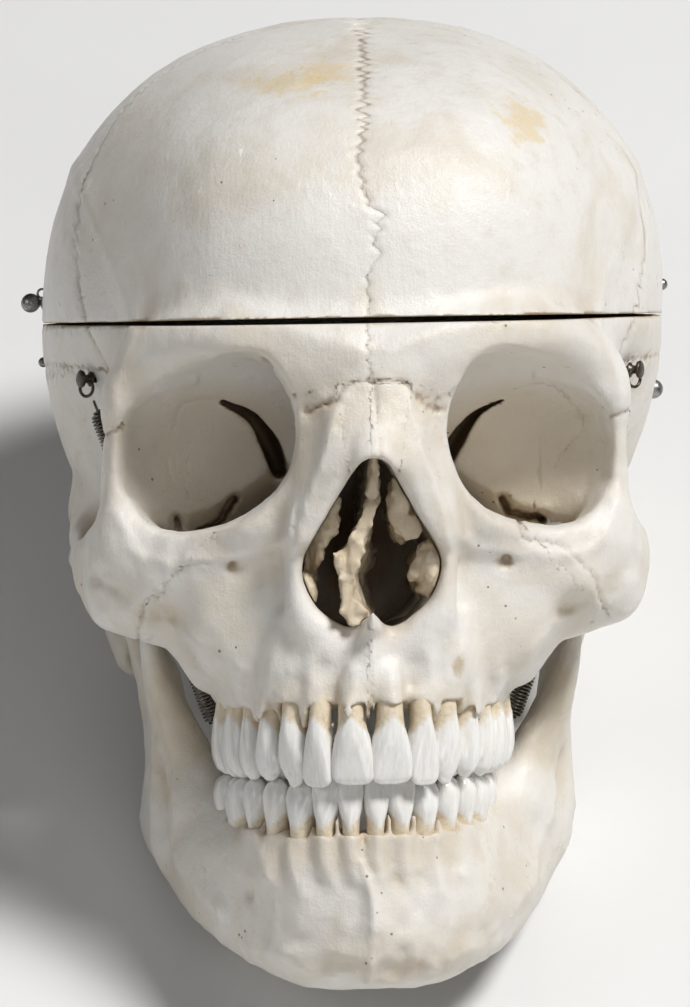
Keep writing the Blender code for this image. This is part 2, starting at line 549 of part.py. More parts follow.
def root_swellings(clay, teeth, arch, neck):
    """The low ridges that the roots raise on the jaw."""
    for seat in seats(teeth, arch, neck):
        foot = seat.spot + seat.out * (seat.kind.depth / 2 - ROOT_UNDER)
        tip = foot + seat.up * (seat.kind.root * 0.85) - seat.out * 1.2
        clay.add(strand([(*foot, seat.kind.width * 0.36), (*tip, 1.8)]), 3)


def skull_clay(cell):
    """All of the skull above the lower jaw."""
    clay = Clay((-112, -48), (88, 116), cell)
    braincase(clay)
    face(clay)
    root_swellings(clay, UPPER_TEETH[:ROOT_RIDGES], UPPER_ARCH, UPPER_NECK)
    face_openings(clay)
    brain_hollow(clay)
    return clay


def jaw_clay(cell):
    """The lower jaw."""
    clay = Clay((-98, -98), (4, 0), cell)
    lower_jaw(clay)
    root_swellings(clay, LOWER_TEETH[:ROOT_RIDGES], LOWER_ARCH, LOWER_NECK)
    return clay


def tooth(seat, steps, sides):
    """The outline of one tooth as rings of points, from the root tip to the biting edge."""
    kind = seat.kind
    rows = np.array(TOOTH_SECTIONS[kind.shape], float)
    rows = smooth_path(rows, steps)
    turn = np.linspace(0, 2 * math.pi, sides, endpoint=False)
    rings = []
    for height, wide, deep, square, shift in rows:
        lift = height * (kind.crown if height > 0 else kind.root)
        across = np.sign(np.cos(turn)) * np.abs(np.cos(turn)) ** (2 / square) * wide * (kind.width / 2 - 0.15)
        outward = np.sign(np.sin(turn)) * np.abs(np.sin(turn)) ** (2 / square) * deep * kind.depth / 2
        outward = outward + shift * kind.depth
        centre = np.array(seat.spot) - np.array(seat.up) * lift
        rings.append(centre + np.outer(across, seat.along) + np.outer(outward, seat.out))
    return rings


def skinned(name, rings):
    """A closed mesh over rings of points, with a flat cap on each end."""
    count = len(rings[0])
    faces = [tuple(range(count))[::-1], tuple(range((len(rings) - 1) * count, len(rings) * count))]
    for ring in range(len(rings) - 1):
        for side in range(count):
            low, high = ring * count, (ring + 1) * count
            after = (side + 1) % count
            faces.append((low + side, low + after, high + after, high + side))
    made = bpy.data.meshes.new(name)
    made.from_pydata(np.concatenate(rings).tolist(), [], faces)
    shape = bmesh.new()
    shape.from_mesh(made)
    bmesh.ops.recalc_face_normals(shape, faces=shape.faces)
    shape.to_mesh(made)
    shape.free()
    return made


def placed(name, mesh):
    """A new object with this mesh in the scene."""
    made = bpy.data.objects.new(name, mesh)
    bpy.context.collection.objects.link(made)
    return made


def baked(thing):
    """Fixes what is still pending on an object in its mesh."""
    graph = bpy.context.evaluated_depsgraph_get()
    mesh = bpy.data.meshes.new_from_object(thing.evaluated_get(graph))
    thing.modifiers.clear()
    thing.data = mesh
    return thing


def thinned(thing, count):
    """Collapses edges until about count triangles are left."""
    tidy = thing.modifiers.new("thin", "DECIMATE")
    tidy.ratio = count / sum(len(face.vertices) - 2 for face in thing.data.polygons)
    return baked(thing)


def combined(thing, other, operation):
    """Joins, trims or cuts one solid with another, which is then used up."""
    step = thing.modifiers.new(operation, "BOOLEAN")
    step.operation = operation
    step.solver = "MANIFOLD"
    step.object = other
    baked(thing)
    bpy.data.objects.remove(other)
    return thing


def largest(thing):
    """Keeps only the largest closed surface of an object."""
    shape = bmesh.new()
    shape.from_mesh(thing.data)
    left = set(shape.faces)
    groups = []
    while left:
        start = left.pop()
        group, edge = {start}, [start]
        while edge:
            for line in edge.pop().edges:
                for face in line.link_faces:
                    if face in left:
                        left.discard(face)
                        group.add(face)
                        edge.append(face)
        groups.append(group)
    groups.sort(key=lambda group: sum(face.calc_area() for face in group))
    scraps = [face for group in groups[:-1] for face in group]
    bmesh.ops.delete(shape, geom=scraps, context="FACES")
    loose = [corner for corner in shape.verts if not corner.link_faces]
    bmesh.ops.delete(shape, geom=loose, context="VERTS")
    shape.to_mesh(thing.data)
    shape.free()
    return thing


def cell(planes, grow=0.0):
    """A convex block bounded by planes, each (point, outward normal), pushed out by grow."""
    shape = bmesh.new()
    bmesh.ops.create_cube(shape, size=BLOCK_SIZE)
    for point, normal in planes:
        normal = Vector(normal).normalized()
        parts = shape.verts[:] + shape.edges[:] + shape.faces[:]
        cut = bmesh.ops.bisect_plane(shape, geom=parts, plane_co=Vector(point) + normal * grow,
                                     plane_no=normal,
                                     clear_outer=True)
        rim = [part for part in cut["geom_cut"] if isinstance(part, bmesh.types.BMEdge)]
        if rim:
            bmesh.ops.edgeloop_fill(shape, edges=rim)
    bmesh.ops.recalc_face_normals(shape, faces=shape.faces)
    mesh = bpy.data.meshes.new("cell")
    shape.to_mesh(mesh)
    shape.free()
    return placed("cell", mesh)


def mirrored(planes):
    return [((-p[0], p[1], p[2]), (-n[0], n[1], n[2])) for p, n in planes]


def taken(rest, name, planes):
    """Cuts the bone inside these planes off the rest, with the thin gap of a seam between them."""
    piece = placed(name, rest.data.copy())
    combined(piece, cell(planes), "INTERSECT")
    combined(rest, cell(planes, SEAM), "DIFFERENCE")
    return largest(piece)


def sided(planes, side):
    """The planes of a left bone, or of its mirror image on the right."""
    return planes if side == "left" else mirrored(planes)


def skull_bones(whole):
    """Parts the skull into its cap and the bones of face and base."""
    slope = Vector(SAW_BACK) - Vector(SAW_FRONT)
    up = Vector((0, -slope.z, slope.y)).normalized()
    open_slope = slope - Vector((0, 0, SAW_OPEN - SEAM))
    open_up = Vector((0, -open_slope.z, open_slope.y)).normalized()
    base = placed("sphenoid", whole.data.copy())
    combined(base, cell([(SAW_FRONT, up)]), "INTERSECT")
    cap = combined(whole, cell([(Vector(SAW_FRONT) + Vector((0, 0, SAW_OPEN)), -open_up)]), "INTERSECT")
    bones = []
    for side in ("left", "right"):
        bones.append(taken(cap, f"cap_frontal_{side}", sided([MIDLINE, CORONAL], side)))
    bones.append(taken(cap, "cap_parietal_left", [MIDLINE]))
    cap.name = "cap_parietal_right"
    bones.append(largest(cap))
    for bone, planes in (("nasal", NASAL), ("zygomatic", ZYGOMATIC), ("maxilla", MAXILLA),
                         ("frontal", FRONTAL),
                         ("parietal", PARIETAL), ("temporal", TEMPORAL)):
        for side in ("left", "right"):
            bones.append(taken(base, f"{bone}_{side}", sided(planes, side)))
    bones.append(taken(base, "occipital", OCCIPITAL))
    bones.append(largest(base))
    return bones


def with_teeth(bone, teeth, arch, neck, side, shift=0.0):
    """Fuses the teeth of one side to their jaw."""
    crowd = bpy.data.collections.new("teeth")
    for seat in seats(teeth, arch, neck):
        rings = [ring * (SIDES[side], 1, 1) + (shift, 0, 0) for ring in tooth(seat, TOOTH_RINGS, TOOTH_SIDES)]
        crowd.objects.link(bpy.data.objects.new("tooth", skinned("tooth", rings)))
    step = bone.modifiers.new("teeth", "BOOLEAN")
    step.operation = "UNION"
    step.solver = "MANIFOLD"
    step.operand_type = "COLLECTION"
    step.collection = crowd
    baked(bone)
    for thing in list(crowd.objects):
        bpy.data.objects.remove(thing)
    bpy.data.collections.remove(crowd)
    return largest(bone)


def nose_plate(rows, front, back, settle):
    """An upright plate in the nose through rows of (z, x, half thickness), back to x = settle."""

    def distance(x, y, z):
        heights = np.array([row[0] for row in rows])
        deep = np.clip((y - front) / (back - front), 0, 1)
        middle = np.interp(z, heights, [row[1] for row in rows]) * (1 - deep) + settle * deep
        thick = np.interp(z, heights, [row[2] for row in rows])
        ends = np.maximum(np.maximum(front - y, y - back), np.maximum(heights[0] - z, z - heights[-1]))
        return np.maximum(np.abs(x - middle) - thick, ends)

    wide = max(abs(row[1]) + row[2] for row in rows)
    return Shape((-wide, front, rows[0][0]), (wide, back, rows[-1][0]), distance)


def nose_bones(skull):
    """The thin bones inside the nose, each trimmed clear of the bone round it and of its neighbours."""
    built = []
    taken_up = skull
    pieces = {"nasal_septum": nose_plate(PARTITION, -94, -46, 0)}
    pieces.update({name: strand(rows) for name, rows in SHELVES.items()})
    for name, shape in pieces.items():
        clay = skull.empty_copy()
        clay.add(shape)
        clay.depth = np.maximum(clay.depth, NOSE_CLEARANCE - taken_up.depth)
        taken_up = copy(taken_up)
        taken_up.depth = np.minimum(taken_up.depth, clay.depth)
        plate = largest(placed(name, clay.mesh(name)))
        built.append(thinned(plate, PLATE_TRIANGLES))
    return built


def rod(start, direction, length, radius, sides=8):
    """A closed round rod, as an object."""
    shape = bmesh.new()
    bmesh.ops.create_cone(shape, cap_ends=True, segments=sides, radius1=radius, radius2=radius, depth=length)
    turn = Vector(direction).to_track_quat("Z", "Y").to_matrix().to_4x4()
    middle = Vector(start) + Vector(direction).normalized() * (length / 2)
    bmesh.ops.transform(shape, matrix=Matrix.Translation(middle) @ turn, verts=shape.verts)
    mesh = bpy.data.meshes.new("rod")
    shape.to_mesh(mesh)
    shape.free()
    return placed("rod", mesh)


def knob(centre, radius):
    """A closed ball, as an object."""
    shape = bmesh.new()
    bmesh.ops.create_uvsphere(shape, u_segments=8, v_segments=6, radius=radius)
    bmesh.ops.translate(shape, vec=Vector(centre), verts=shape.verts)
    mesh = bpy.data.meshes.new("knob")
    shape.to_mesh(mesh)
    shape.free()
    return placed("knob", mesh)


def pins(bones):
    """Drills each pin's hole in its bone and makes the pin."""
    made = []
    for name, pin in PINS.items():
        out = Vector(pin.out).normalized()
        start = Vector(pin.foot) - out * SHANK_SUNK
        combined(bones[pin.bone], rod(start - out * SEAM, out, SHANK_SUNK + DRILL_REACH, pin.shank + SEAM),
                 "DIFFERENCE")
        body = rod(start, out, SHANK_SUNK + pin.stands + pin.head, pin.shank)
        body.name = name
        made.append(combined(body, knob(Vector(pin.foot) + out * (pin.stands + pin.head), pin.head), "UNION"))
    return made


def springs():
    """The two stretched springs from the temples to the jaw, each as the rod that it fills."""
    made = []
    for side, turn in SIDES.items():
        top = SPRING_TOP * 1
        foot = SPRING_FOOT * 1
        top.x *= turn
        foot.x = foot.x * turn + JAW_SHIFT
        spring = rod(foot, top - foot, (top - foot).length, SPRING_RADIUS, SPRING_SIDES)
        spring.name = f"jaw_spring_{side}"
        made.append(spring)
    return made


def material(name, colour, roughness, metallic=0.0):
    made = bpy.data.materials.new(name)
    made.use_nodes = True
    made.diffuse_color = (*colour, 1)
    shader = made.node_tree.nodes["Principled BSDF"]
    shader.inputs["Base Color"].default_value = (*colour, 1)
    shader.inputs["Roughness"].default_value = roughness
    shader.inputs["Metallic"].default_value = metallic
    return made


def build():
    """Makes every part and leans the skull back as it rests."""
    for thing in list(bpy.data.objects):
        bpy.data.objects.remove(thing)
    clay = skull_clay(CLAY_CELL).whole()
    skull = thinned(placed("skull", clay.mesh("skull")), SKULL_TRIANGLES)
    bones = {bone.name: bone for bone in skull_bones(skull)}
    jaw = thinned(placed("mandible", jaw_clay(CLAY_CELL).whole().mesh("mandible")), JAW_TRIANGLES)
    jaw.data.transform(Matrix.Translation((JAW_SHIFT, 0, 0)))
    bones["mandible"] = jaw
    for side in SIDES:
        with_teeth(bones[f"maxilla_{side}"], UPPER_TEETH, UPPER_ARCH, UPPER_NECK, side)
        with_teeth(jaw, LOWER_TEETH, LOWER_ARCH, LOWER_NECK, side, LOWER_SHIFT)
    metal = pins(bones) + springs()
    bones.update({bone.name: bone for bone in nose_bones(clay)})

    rest = bpy.data.objects.new("rest", None)
    bpy.context.collection.objects.link(rest)
    rest.rotation_euler = REST_TURN.to_euler()
    rest.location = REST_SPOT * MM
    down = REST_TURN.inverted() @ Vector((0, 0, -1))
    for thing in [*bones.values(), *metal]:
        thing.data.transform(SKEW)
        if thing.name in ON_FLOOR:
            combined(thing, cell([(down * REST_SPOT.z, down)]), "INTERSECT")
        thing.data.transform(Matrix.Scale(MM, 4))
        thing.parent = rest
        thing.data.materials.clear()
        tint = STEEL if thing in metal else BONE
        thing.data.materials.append(material(thing.name, *tint))
        thing.data.shade_smooth()
        thing.data.set_sharp_from_angle(angle=SHARP_EDGE)


if __name__ == "__main__":
    build()
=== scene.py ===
"""An anatomical teaching skull at life size, leaning back on its jaw and nape: sawn braincase with its cap, face,
jaw, both rows of teeth, and the pins, hooks and springs that hold cap and jaw.

The bones are sculpted as clay: a grid holds how far each point lies outside the surface, and balls, strands and slabs
are blended on to it or cut from it. Each bone is then meshed on its own, a little past the cell that its seams bound,
and the fine seams are drawn as grooves. Teeth and metal are surfaces over a grid of two parameters.

Sizes are millimetres in the skull's own frame: x to the skull's left, y to the back, z up, with the origin midway
between the ear holes and z = 0 on the Frankfurt plane. The last step leans everything back as it rests.
"""

import json
import math
from collections import namedtuple
from copy import copy

import bpy
import numpy as np
import openvdb
from mathutils import Euler, Matrix, Vector

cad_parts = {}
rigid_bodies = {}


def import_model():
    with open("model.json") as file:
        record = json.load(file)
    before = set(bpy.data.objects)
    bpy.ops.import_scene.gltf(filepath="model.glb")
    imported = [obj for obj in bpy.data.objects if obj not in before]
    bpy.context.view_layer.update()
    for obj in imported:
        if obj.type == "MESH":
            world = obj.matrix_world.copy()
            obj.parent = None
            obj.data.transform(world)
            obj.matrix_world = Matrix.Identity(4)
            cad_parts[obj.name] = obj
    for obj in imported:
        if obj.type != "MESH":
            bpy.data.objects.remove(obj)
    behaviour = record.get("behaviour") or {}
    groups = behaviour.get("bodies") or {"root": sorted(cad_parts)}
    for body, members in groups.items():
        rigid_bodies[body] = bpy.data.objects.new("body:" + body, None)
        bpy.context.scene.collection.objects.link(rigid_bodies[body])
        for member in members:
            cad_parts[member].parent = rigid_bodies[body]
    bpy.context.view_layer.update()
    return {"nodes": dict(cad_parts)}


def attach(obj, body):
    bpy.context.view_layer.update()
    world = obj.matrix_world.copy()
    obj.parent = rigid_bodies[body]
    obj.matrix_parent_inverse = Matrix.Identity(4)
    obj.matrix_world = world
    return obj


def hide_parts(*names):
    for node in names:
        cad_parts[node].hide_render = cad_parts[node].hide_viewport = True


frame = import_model()

MM = 0.001
# Depths are worked out up to this far from a surface, in millimetres
FAR = 6.0

Shape = namedtuple("Shape", "low high distance")


class Clay:
    """A block of clay from the midline out. Its depth is the distance outside the surface in millimetres."""

    def __init__(self, low, high, cell, wide=76):
        low = np.array((0.0, *low), float)
        count = np.ceil((np.array((wide, *high), float) - low) / cell).astype(int) + 1
        self.cell = cell
        self.axes = [low[i] + cell * np.arange(count[i]) for i in range(3)]
        self.depth = np.full(count, FAR, np.float32)

    def empty_copy(self):
        """The same block with nothing in it."""
        other = copy(self)
        other.depth = np.full_like(self.depth, FAR)
        return other

    def whole(self):
        """The same clay with its mirror image on the other side."""
        other = copy(self)
        other.depth = np.concatenate([self.depth[:0:-1], self.depth])
        other.axes = [np.concatenate([-self.axes[0][:0:-1], self.axes[0]]), *self.axes[1:]]
        return other

    def window(self, low, high):
        """The slices of the box from low to high, with the open grids of its coordinates."""
        spans = tuple(slice(*np.searchsorted(axis, (a, b))) for axis, a, b in zip(self.axes, low, high))
        grids = np.ix_(*(axis[span].astype(np.float32) for axis, span in zip(self.axes, spans)))
        return spans, grids

    def add(self, shape, blend=0.0):
        """Joins a shape on, with a fillet about as wide as blend."""
        reach = FAR + blend
        spans, grids = self.window(np.subtract(shape.low, reach), np.add(shape.high, reach))
        old = self.depth[spans]
        if old.size:
            self.depth[spans] = soft_low(old, shape.distance(*grids), blend)

    def cut(self, shape, blend=0.0):
        """Takes a shape away, with a rounded edge about as wide as blend."""
        reach = FAR + blend
        spans, grids = self.window(np.subtract(shape.low, reach), np.add(shape.high, reach))
        old = self.depth[spans]
        if old.size:
            self.depth[spans] = -soft_low(-old, shape.distance(*grids), blend)

    def swell(self, centre, reach, amount):
        """Pushes the surface out by amount at centre, fading over reach as a bell curve. A negative amount dents it."""
        reach = np.broadcast_to(np.array(reach, float), 3)
        centre = np.array(centre, float)
        spans, (x, y, z) = self.window(centre - 3 * reach, centre + 3 * reach)
        if self.depth[spans].size:
            fade = ((x - centre[0]) / reach[0]) ** 2 + ((y - centre[1]) / reach[1]) ** 2
            fade = fade + ((z - centre[2]) / reach[2]) ** 2
            self.depth[spans] -= np.float32(amount) * np.exp(-0.5 * fade)


def soft_low(a, b, blend):
    """The lower of two fields, rounded where they come within blend of each other."""
    if blend <= 0:
        return np.minimum(a, b)
    near = np.maximum(blend - np.abs(a - b), 0) / blend
    return np.minimum(a, b) - near * near * (blend * 0.25)


def turned(x, y, z, centre, axes):
    """The coordinates seen from centre, along the three unit axes, or the grid's own when axes is None."""
    x, y, z = x - centre[0], y - centre[1], z - centre[2]
    if axes is None:
        return x, y, z
    return tuple(x * axis[0] + y * axis[1] + z * axis[2] for axis in axes)


def axes_along(forward, up=(0, 0, 1)):
    """Three unit axes: across, along forward, and the rest of up."""
    forward = Vector(forward).normalized()
    across = forward.cross(Vector(up)).normalized()
    return [tuple(across), tuple(forward), tuple(across.cross(forward))]


def ball(centre, radii, axes=None):
    """An ellipsoid."""
    radii = np.broadcast_to(np.array(radii, float), 3)
    reach = radii if axes is None else np.full(3, max(radii))

    def distance(x, y, z):
        x, y, z = turned(x, y, z, centre, axes)
        near = np.sqrt((x / radii[0]) ** 2 + (y / radii[1]) ** 2 + (z / radii[2]) ** 2) + 1e-6
        slope = np.sqrt((x / radii[0] ** 2) ** 2 + (y / radii[1] ** 2) ** 2 + (z / radii[2] ** 2) ** 2) + 1e-6
        return near * (near - 1) / slope

    return Shape(np.subtract(centre, reach), np.add(centre, reach), distance)


def block(centre, half, round_by=2.0, axes=None):
    """A box with rounded edges."""
    half = np.array(half, float)
    reach = half if axes is None else np.full(3, np.linalg.norm(half))

    def distance(x, y, z):
        x, y, z = turned(x, y, z, centre, axes)
        sides = [np.abs(v) - (h - round_by) for v, h in zip((x, y, z), half)]
        outside = np.sqrt(sum(np.maximum(s, 0) ** 2 for s in sides))
        inside = np.minimum(np.maximum(np.maximum(sides[0], sides[1]), sides[2]), 0)
        return outside + inside - round_by

    return Shape(np.subtract(centre, reach), np.add(centre, reach), distance)


def smooth_path(points, steps):
    """Points along the Catmull-Rom curve through the given rows, which may hold more than three values."""
    points = np.array(points, float)
    padded = np.vstack([2 * points[0] - points[1], points, 2 * points[-1] - points[-2]])
    where = np.linspace(0, len(points) - 1, steps)
    span = np.minimum(where.astype(int), len(points) - 2)
    t = (where - span)[:, None]
    a, b, c, d = (padded[span + i] for i in range(4))
    return 0.5 * (2 * b + (c - a) * t + (2 * a - 5 * b + 4 * c - d) * t**2 + (3 * b - a - 3 * c + d) * t**3)


def strand(rows, flat=(0, 0, 1), steps=None):
    """A bent rod through rows of (x, y, z, radius, radius along flat)."""
    rows = [row if len(row) == 5 else (*row, row[3]) for row in rows]
    path = smooth_path(rows, steps or 4 * len(rows) - 3) if len(rows) > 2 else np.array(rows, float)
    flat = np.array(flat, float) / np.linalg.norm(flat)
    widest = path[:, 3:].max()

    def distance(x, y, z):
        best = None
        for a, b in zip(path, path[1:]):
            run = b[:3] - a[:3]
            px, py, pz = x - a[0], y - a[1], z - a[2]
            squash = 1 - ((a[3] + b[3]) / (a[4] + b[4])) ** 2
            pull = run - squash * (run @ flat) * flat
            t = np.clip((px * pull[0] + py * pull[1] + pz * pull[2]) / max(run @ pull, 1e-9), 0, 1)
            qx, qy, qz = px - t * run[0], py - t * run[1], pz - t * run[2]
            side = a[3] + t * (b[3] - a[3])
            tall = a[4] + t * (b[4] - a[4])
            up = qx * flat[0] + qy * flat[1] + qz * flat[2]
            level = np.maximum(qx * qx + qy * qy + qz * qz - up * up, 0)
            near = np.sqrt(level / side**2 + up * up / tall**2) + 1e-6
            slope = np.sqrt(level / side**4 + up * up / tall**4) + 1e-6
            found = near * (near - 1) / slope
            best = found if best is None else np.minimum(best, found)
        return best

    return Shape(path[:, :3].min(axis=0) - widest, path[:, :3].max(axis=0) + widest, distance)


def egg(centre, half, front, back, up, down, power):
    """A rounded box-like egg with its own reach to the sides, front, back, top and bottom."""

    def distance(x, y, z):
        x, y, z = x - centre[0], y - centre[1], z - centre[2]
        long = np.where(y < 0, front, back)
        tall = np.where(z > 0, up, down)
        parts = [np.abs(x) / half, np.abs(y) / long, np.abs(z) / tall]
        level = sum(p**power for p in parts) ** (1 / power) + 1e-6
        slopes = [(p / level) ** (power - 1) / s for p, s in zip(parts, (half, long, tall))]
        return (level - 1) / np.sqrt(sum(s * s for s in slopes) + 1e-9)

    low = np.subtract(centre, (half, front, down))
    return Shape(low, np.add(centre, (half, back, up)), distance)


def funnel(centre, apex, radii, rake, widths):
    """A round-cornered funnel that runs back from a raked rim.

    radii are the rim's radii at equal steps round centre, as (x, z) turns up from the x axis. rake is how far the rim
    moves back for each millimetre of x and z. widths are the scale of the section at equal steps from rim to apex.
    """
    turn = np.linspace(0, 2 * math.pi, len(radii) + 1)
    ring = smooth_path([(a, r) for a, r in zip(turn, [*radii, radii[0]])], 8 * len(radii) + 1)
    deep = smooth_path([(a, w) for a, w in zip(np.linspace(0, 1, len(widths)), widths)], 8 * len(widths))
    length = apex[1] - centre[1]

    def distance(x, y, z):
        t = (y - centre[1] - rake[0] * (x - centre[0]) - rake[1] * (z - centre[2])) / length
        inner = np.clip(t, 0, 1)
        scale = np.interp(inner, deep[:, 0], deep[:, 1]) - 0.25 * np.minimum(t, 0)
        px = x - centre[0] - inner * (apex[0] - centre[0])
        pz = z - centre[2] - inner * (apex[2] - centre[2])
        angle = np.mod(np.arctan2(pz, px), 2 * math.pi)
        radius = np.interp(angle, ring[:, 0], ring[:, 1]) * scale
        return np.maximum(np.hypot(px, pz) - radius, (t - 1) * length) * 0.85

    wide = 1.4 * max(radii)
    return Shape((centre[0] - wide, centre[1] - 22, centre[2] - wide), (centre[0] + wide, apex[1], centre[2] + wide),
                 distance)


def pear(top, bottom, front, back):
    """A slot along y whose section tapers between two circles on the midline, each given as (z, radius)."""
    rise = top[0] - bottom[0]
    lean = (bottom[1] - top[1]) / rise
    level = math.sqrt(1 - lean * lean)

    def distance(x, y, z):
        side = np.abs(x)
        along = z - bottom[0]
        flank = side * level + along * lean - bottom[1]
        foot = side * -lean + along * level
        around = np.where(foot < 0, np.hypot(side, along) - bottom[1],
                          np.where(foot > rise * level, np.hypot(side, along - rise) - top[1], flank))
        return np.maximum(around, np.maximum(front - y, y - back))

    wide = bottom[1]
    return Shape((-wide, front, bottom[0] - wide), (wide, back, top[0] + top[1]), distance)


def braincase(clay):
    """The closed dome and the base of the skull, with its ear holes, mastoids and the joint faces of the neck."""
    clay.add(egg(VAULT_CENTRE, **VAULT))
    for centre, reach, amount in (
        ((44, 32, 84), (16, 22, 18), 0.8),
        ((26, -80, 78), (16, 16, 15), 1.6),
        ((0, -60, 100), (20, 26, 14), -1.5),
        ((0, 72, 72), (26, 16, 16), -2.5),
        ((0, 80, 34), (30, 12, 20), 3.5),
        ((0, 72, 1), (9, 8, 6), 1.8),
        ((60, -5, 40), (12, 25, 20), 0.8),
        ((55, -62, 52), (12, 14, 22), -2.0),
    ):
        clay.swell(centre, reach, amount)
    clay.cut(ball((70, -50, -4), (26, 31, 44)), 9)
    clay.cut(block((56, -45, -30), (26, 24, 24), 8), 8)
    clay.cut(block((0, -70, -30), (40, 40, 22), 6), 6)
    clay.add(strand([(55, -12, 0.5, 3.2, 4), (57.5, 4, 3, 2.6, 3.5), (57, 24, 7, 2.4, 4), (49, 44, 12, 1.5, 4)]), 8)
    clay.add(strand([(48, 17, -2, 9, 9), (47.2, 13, -14, 7.6, 7.6), (45.6, 9, -26, 4.8, 4.8)], flat=(1, 0, 0)), 7)
    clay.cut(strand([(38, 24, -22, 2.5), (45, 4, -27, 2)]), 3)
    clay.cut(strand([(70, 3, 0.5, 4.4), (44, 3, 0, 3)]), 2)
    clay.add(strand([(58, -3, -5, 2.5), (52, -1, -8, 2.5), (44, 0, -9, 3)]), 3)
    clay.add(strand([(20, -18, -14, 7), (32, -6, -14, 6), (40, 4, -13, 6)]), 8)
    clay.add(strand([(34, 2, -14, 2.6), (32, -2, -32, 1.0)]), 3)
    clay.add(strand([(38, 50, 4, 1), (21, 64, 4, 1.2), (0, 71.5, 2, 2)]), 8)
    clay.add(strand([(0, 70, 0, 1.2), (0, 56, -12, 1.4), (0, 42, -18, 1.2)]), 7)
    clay.add(block((0, -10, -12), (11, 24, 8), 5), 8)
    clay.add(strand([(17, 14, -22, 5.5, 6), (19, 4, -24, 6, 6.5), (14, -5, -22, 4.5, 4.5)]), 4)


def brain_hollow(clay):
    """The hollow of the braincase and the great hole beneath it."""
    inner = {key: size - BONE_THICK for key, size in VAULT.items() if key != "power"}
    hollow = clay.empty_copy()
    hollow.add(egg(VAULT_CENTRE, power=VAULT["power"], **inner))
    hollow.cut(block((0, -74, -2), (80, 40, 42), 10), 8)
    hollow.cut(block((0, -28, -22), (80, 26, 26), 8), 8)
    hollow.add(ball((31, -26, 14), (21, 22, 17)), 10)
    hollow.cut(strand([(14, -12, 2, 8), (34, -2, 1, 9), (56, 8, 2, 9)], flat=(0, 0, 1)), 10)
    hollow.depth = np.maximum(hollow.depth, clay.depth + THINNEST_WALL)
    clay.depth = np.maximum(clay.depth, -hollow.depth)
    clay.cut(strand([(0, 16, -40, 14.5), (0, 20, -10, 14.5)], flat=(1, 0, 0)), 3)


def face(clay):
    """The brow, cheeks, upper jaw and nose, before their openings are cut."""
    clay.add(block((0, -66, 14), (30, 24, 20), 8), 10)
    clay.add(strand([(0, -88, 33, 7, 7), (16, -87.5, 36, 6.5, 6), (32, -83, 39.5, 6, 5), (43.5, -73, 36, 5, 5),
                     (49, -67, 27, 4.0, 5)]), 7)
    clay.swell((0, -95, 35), (10, 6, 7), 2.4)
    clay.swell((15, -92, 40), (9, 6, 4), 1.2)
    clay.add(strand([(48.6, -67, 29, 3.6, 5), (50.6, -64, 18, 2.6, 5.5), (50.8, -63, 7, 3.0, 6), (48.5, -66, -3, 6, 7)],
                    flat=(0, 1, 0)), 4)
    clay.add(strand([(34, -76, -7, 5, 5), (42, -71, -8, 6, 7), (49.5, -64, -8, 5, 8), (54, -57, -7, 3.2, 7.5)],
                    flat=(0, 0, 1)), 5)
    clay.add(strand([(52.5, -62, -5, 3.2, 8), (56.6, -53, -6.5, 2.6, 6.8), (58.0, -40, -5, 2.0, 4.6),
                     (58.2, -24, -3.5, 1.9, 3.6), (56.6, -12, -0.5, 2.8, 3.0), (55.5, -4, 1.5, 3, 3)]), 4)
    clay.add(strand([(48, -68, 2, 5, 4), (39, -74, -2.2, 4.4, 4), (29, -80, -1, 4.4, 4), (20.5, -84, 5, 3.8, 3.6),
                     (16, -85.5, 14, 3.4, 3.6), (12, -86.5, 25, 3.6, 3.6)], flat=(0, 1, 0)), 4)
    clay.add(ball((22, -71, -12), (17, 16, 20)), 5)
    clay.add(strand([(50, -61, -15, 4.5, 5), (44, -62, -17.5, 4.5, 5), (37, -62, -20, 4.5, 5),
                     (32, -60, -28, 4, 4)], flat=(0, 1, 0)), 7)
    clay.add(strand([(0, -88.5, -25.4, 4, 9.4), (9, -87, -25.4, 4.2, 9.4), (17, -82, -25.4, 4.6, 9.6),
                     (23, -74, -25.6, 4.8, 9.8), (26.4, -62, -25.8, 5, 10.2), (27.5, -50, -25.8, 5, 10),
                     (26, -41, -25, 4.6, 9)]), 3)
    clay.add(block((0, -62, -23), (20, 22, 5), 3), 5)
    clay.add(strand([(4.5, -89, 28, 5, 5), (8.5, -90, 18, 4.6, 5), (12, -91, 8, 4.2, 5), (15, -89.5, -4, 4, 5),
                     (14.5, -88.5, -14, 4, 5), (9, -89, -22, 4, 4)], flat=(0, 1, 0)), 4)
    clay.add(strand([(0, -90, 31, 5.0, 4.5), (0, -95.5, 22, 4.6, 4.5), (0, -101, 14.5, 4.4, 3.6)],
                    flat=(0, 1, 0)), 5)
    clay.add(strand([(3, -91, 29, 4.5, 4), (5.5, -94.5, 21, 4, 4), (7, -96.5, 14, 3.4, 4), (9.5, -94.5, 7, 3, 4),
                     (12.5, -92, 0, 3, 4)], flat=(0, 1, 0)), 5)
    clay.add(strand([(14, -38, 4, 4, 7), (15, -37, -10, 2, 6), (17, -35, -26, 1.4, 5)], flat=(0, 1, 0)), 4)
    clay.add(block((0, -34, 0), (15, 14, 12), 5), 6)
    clay.add(strand([(16, -40, 14, 3, 7), (28, -47, 14, 2.6, 9), (38, -56, 12, 2.2, 11), (47, -62, 12, 2.2, 11)],
                    flat=(0, 0, 1)), 4)


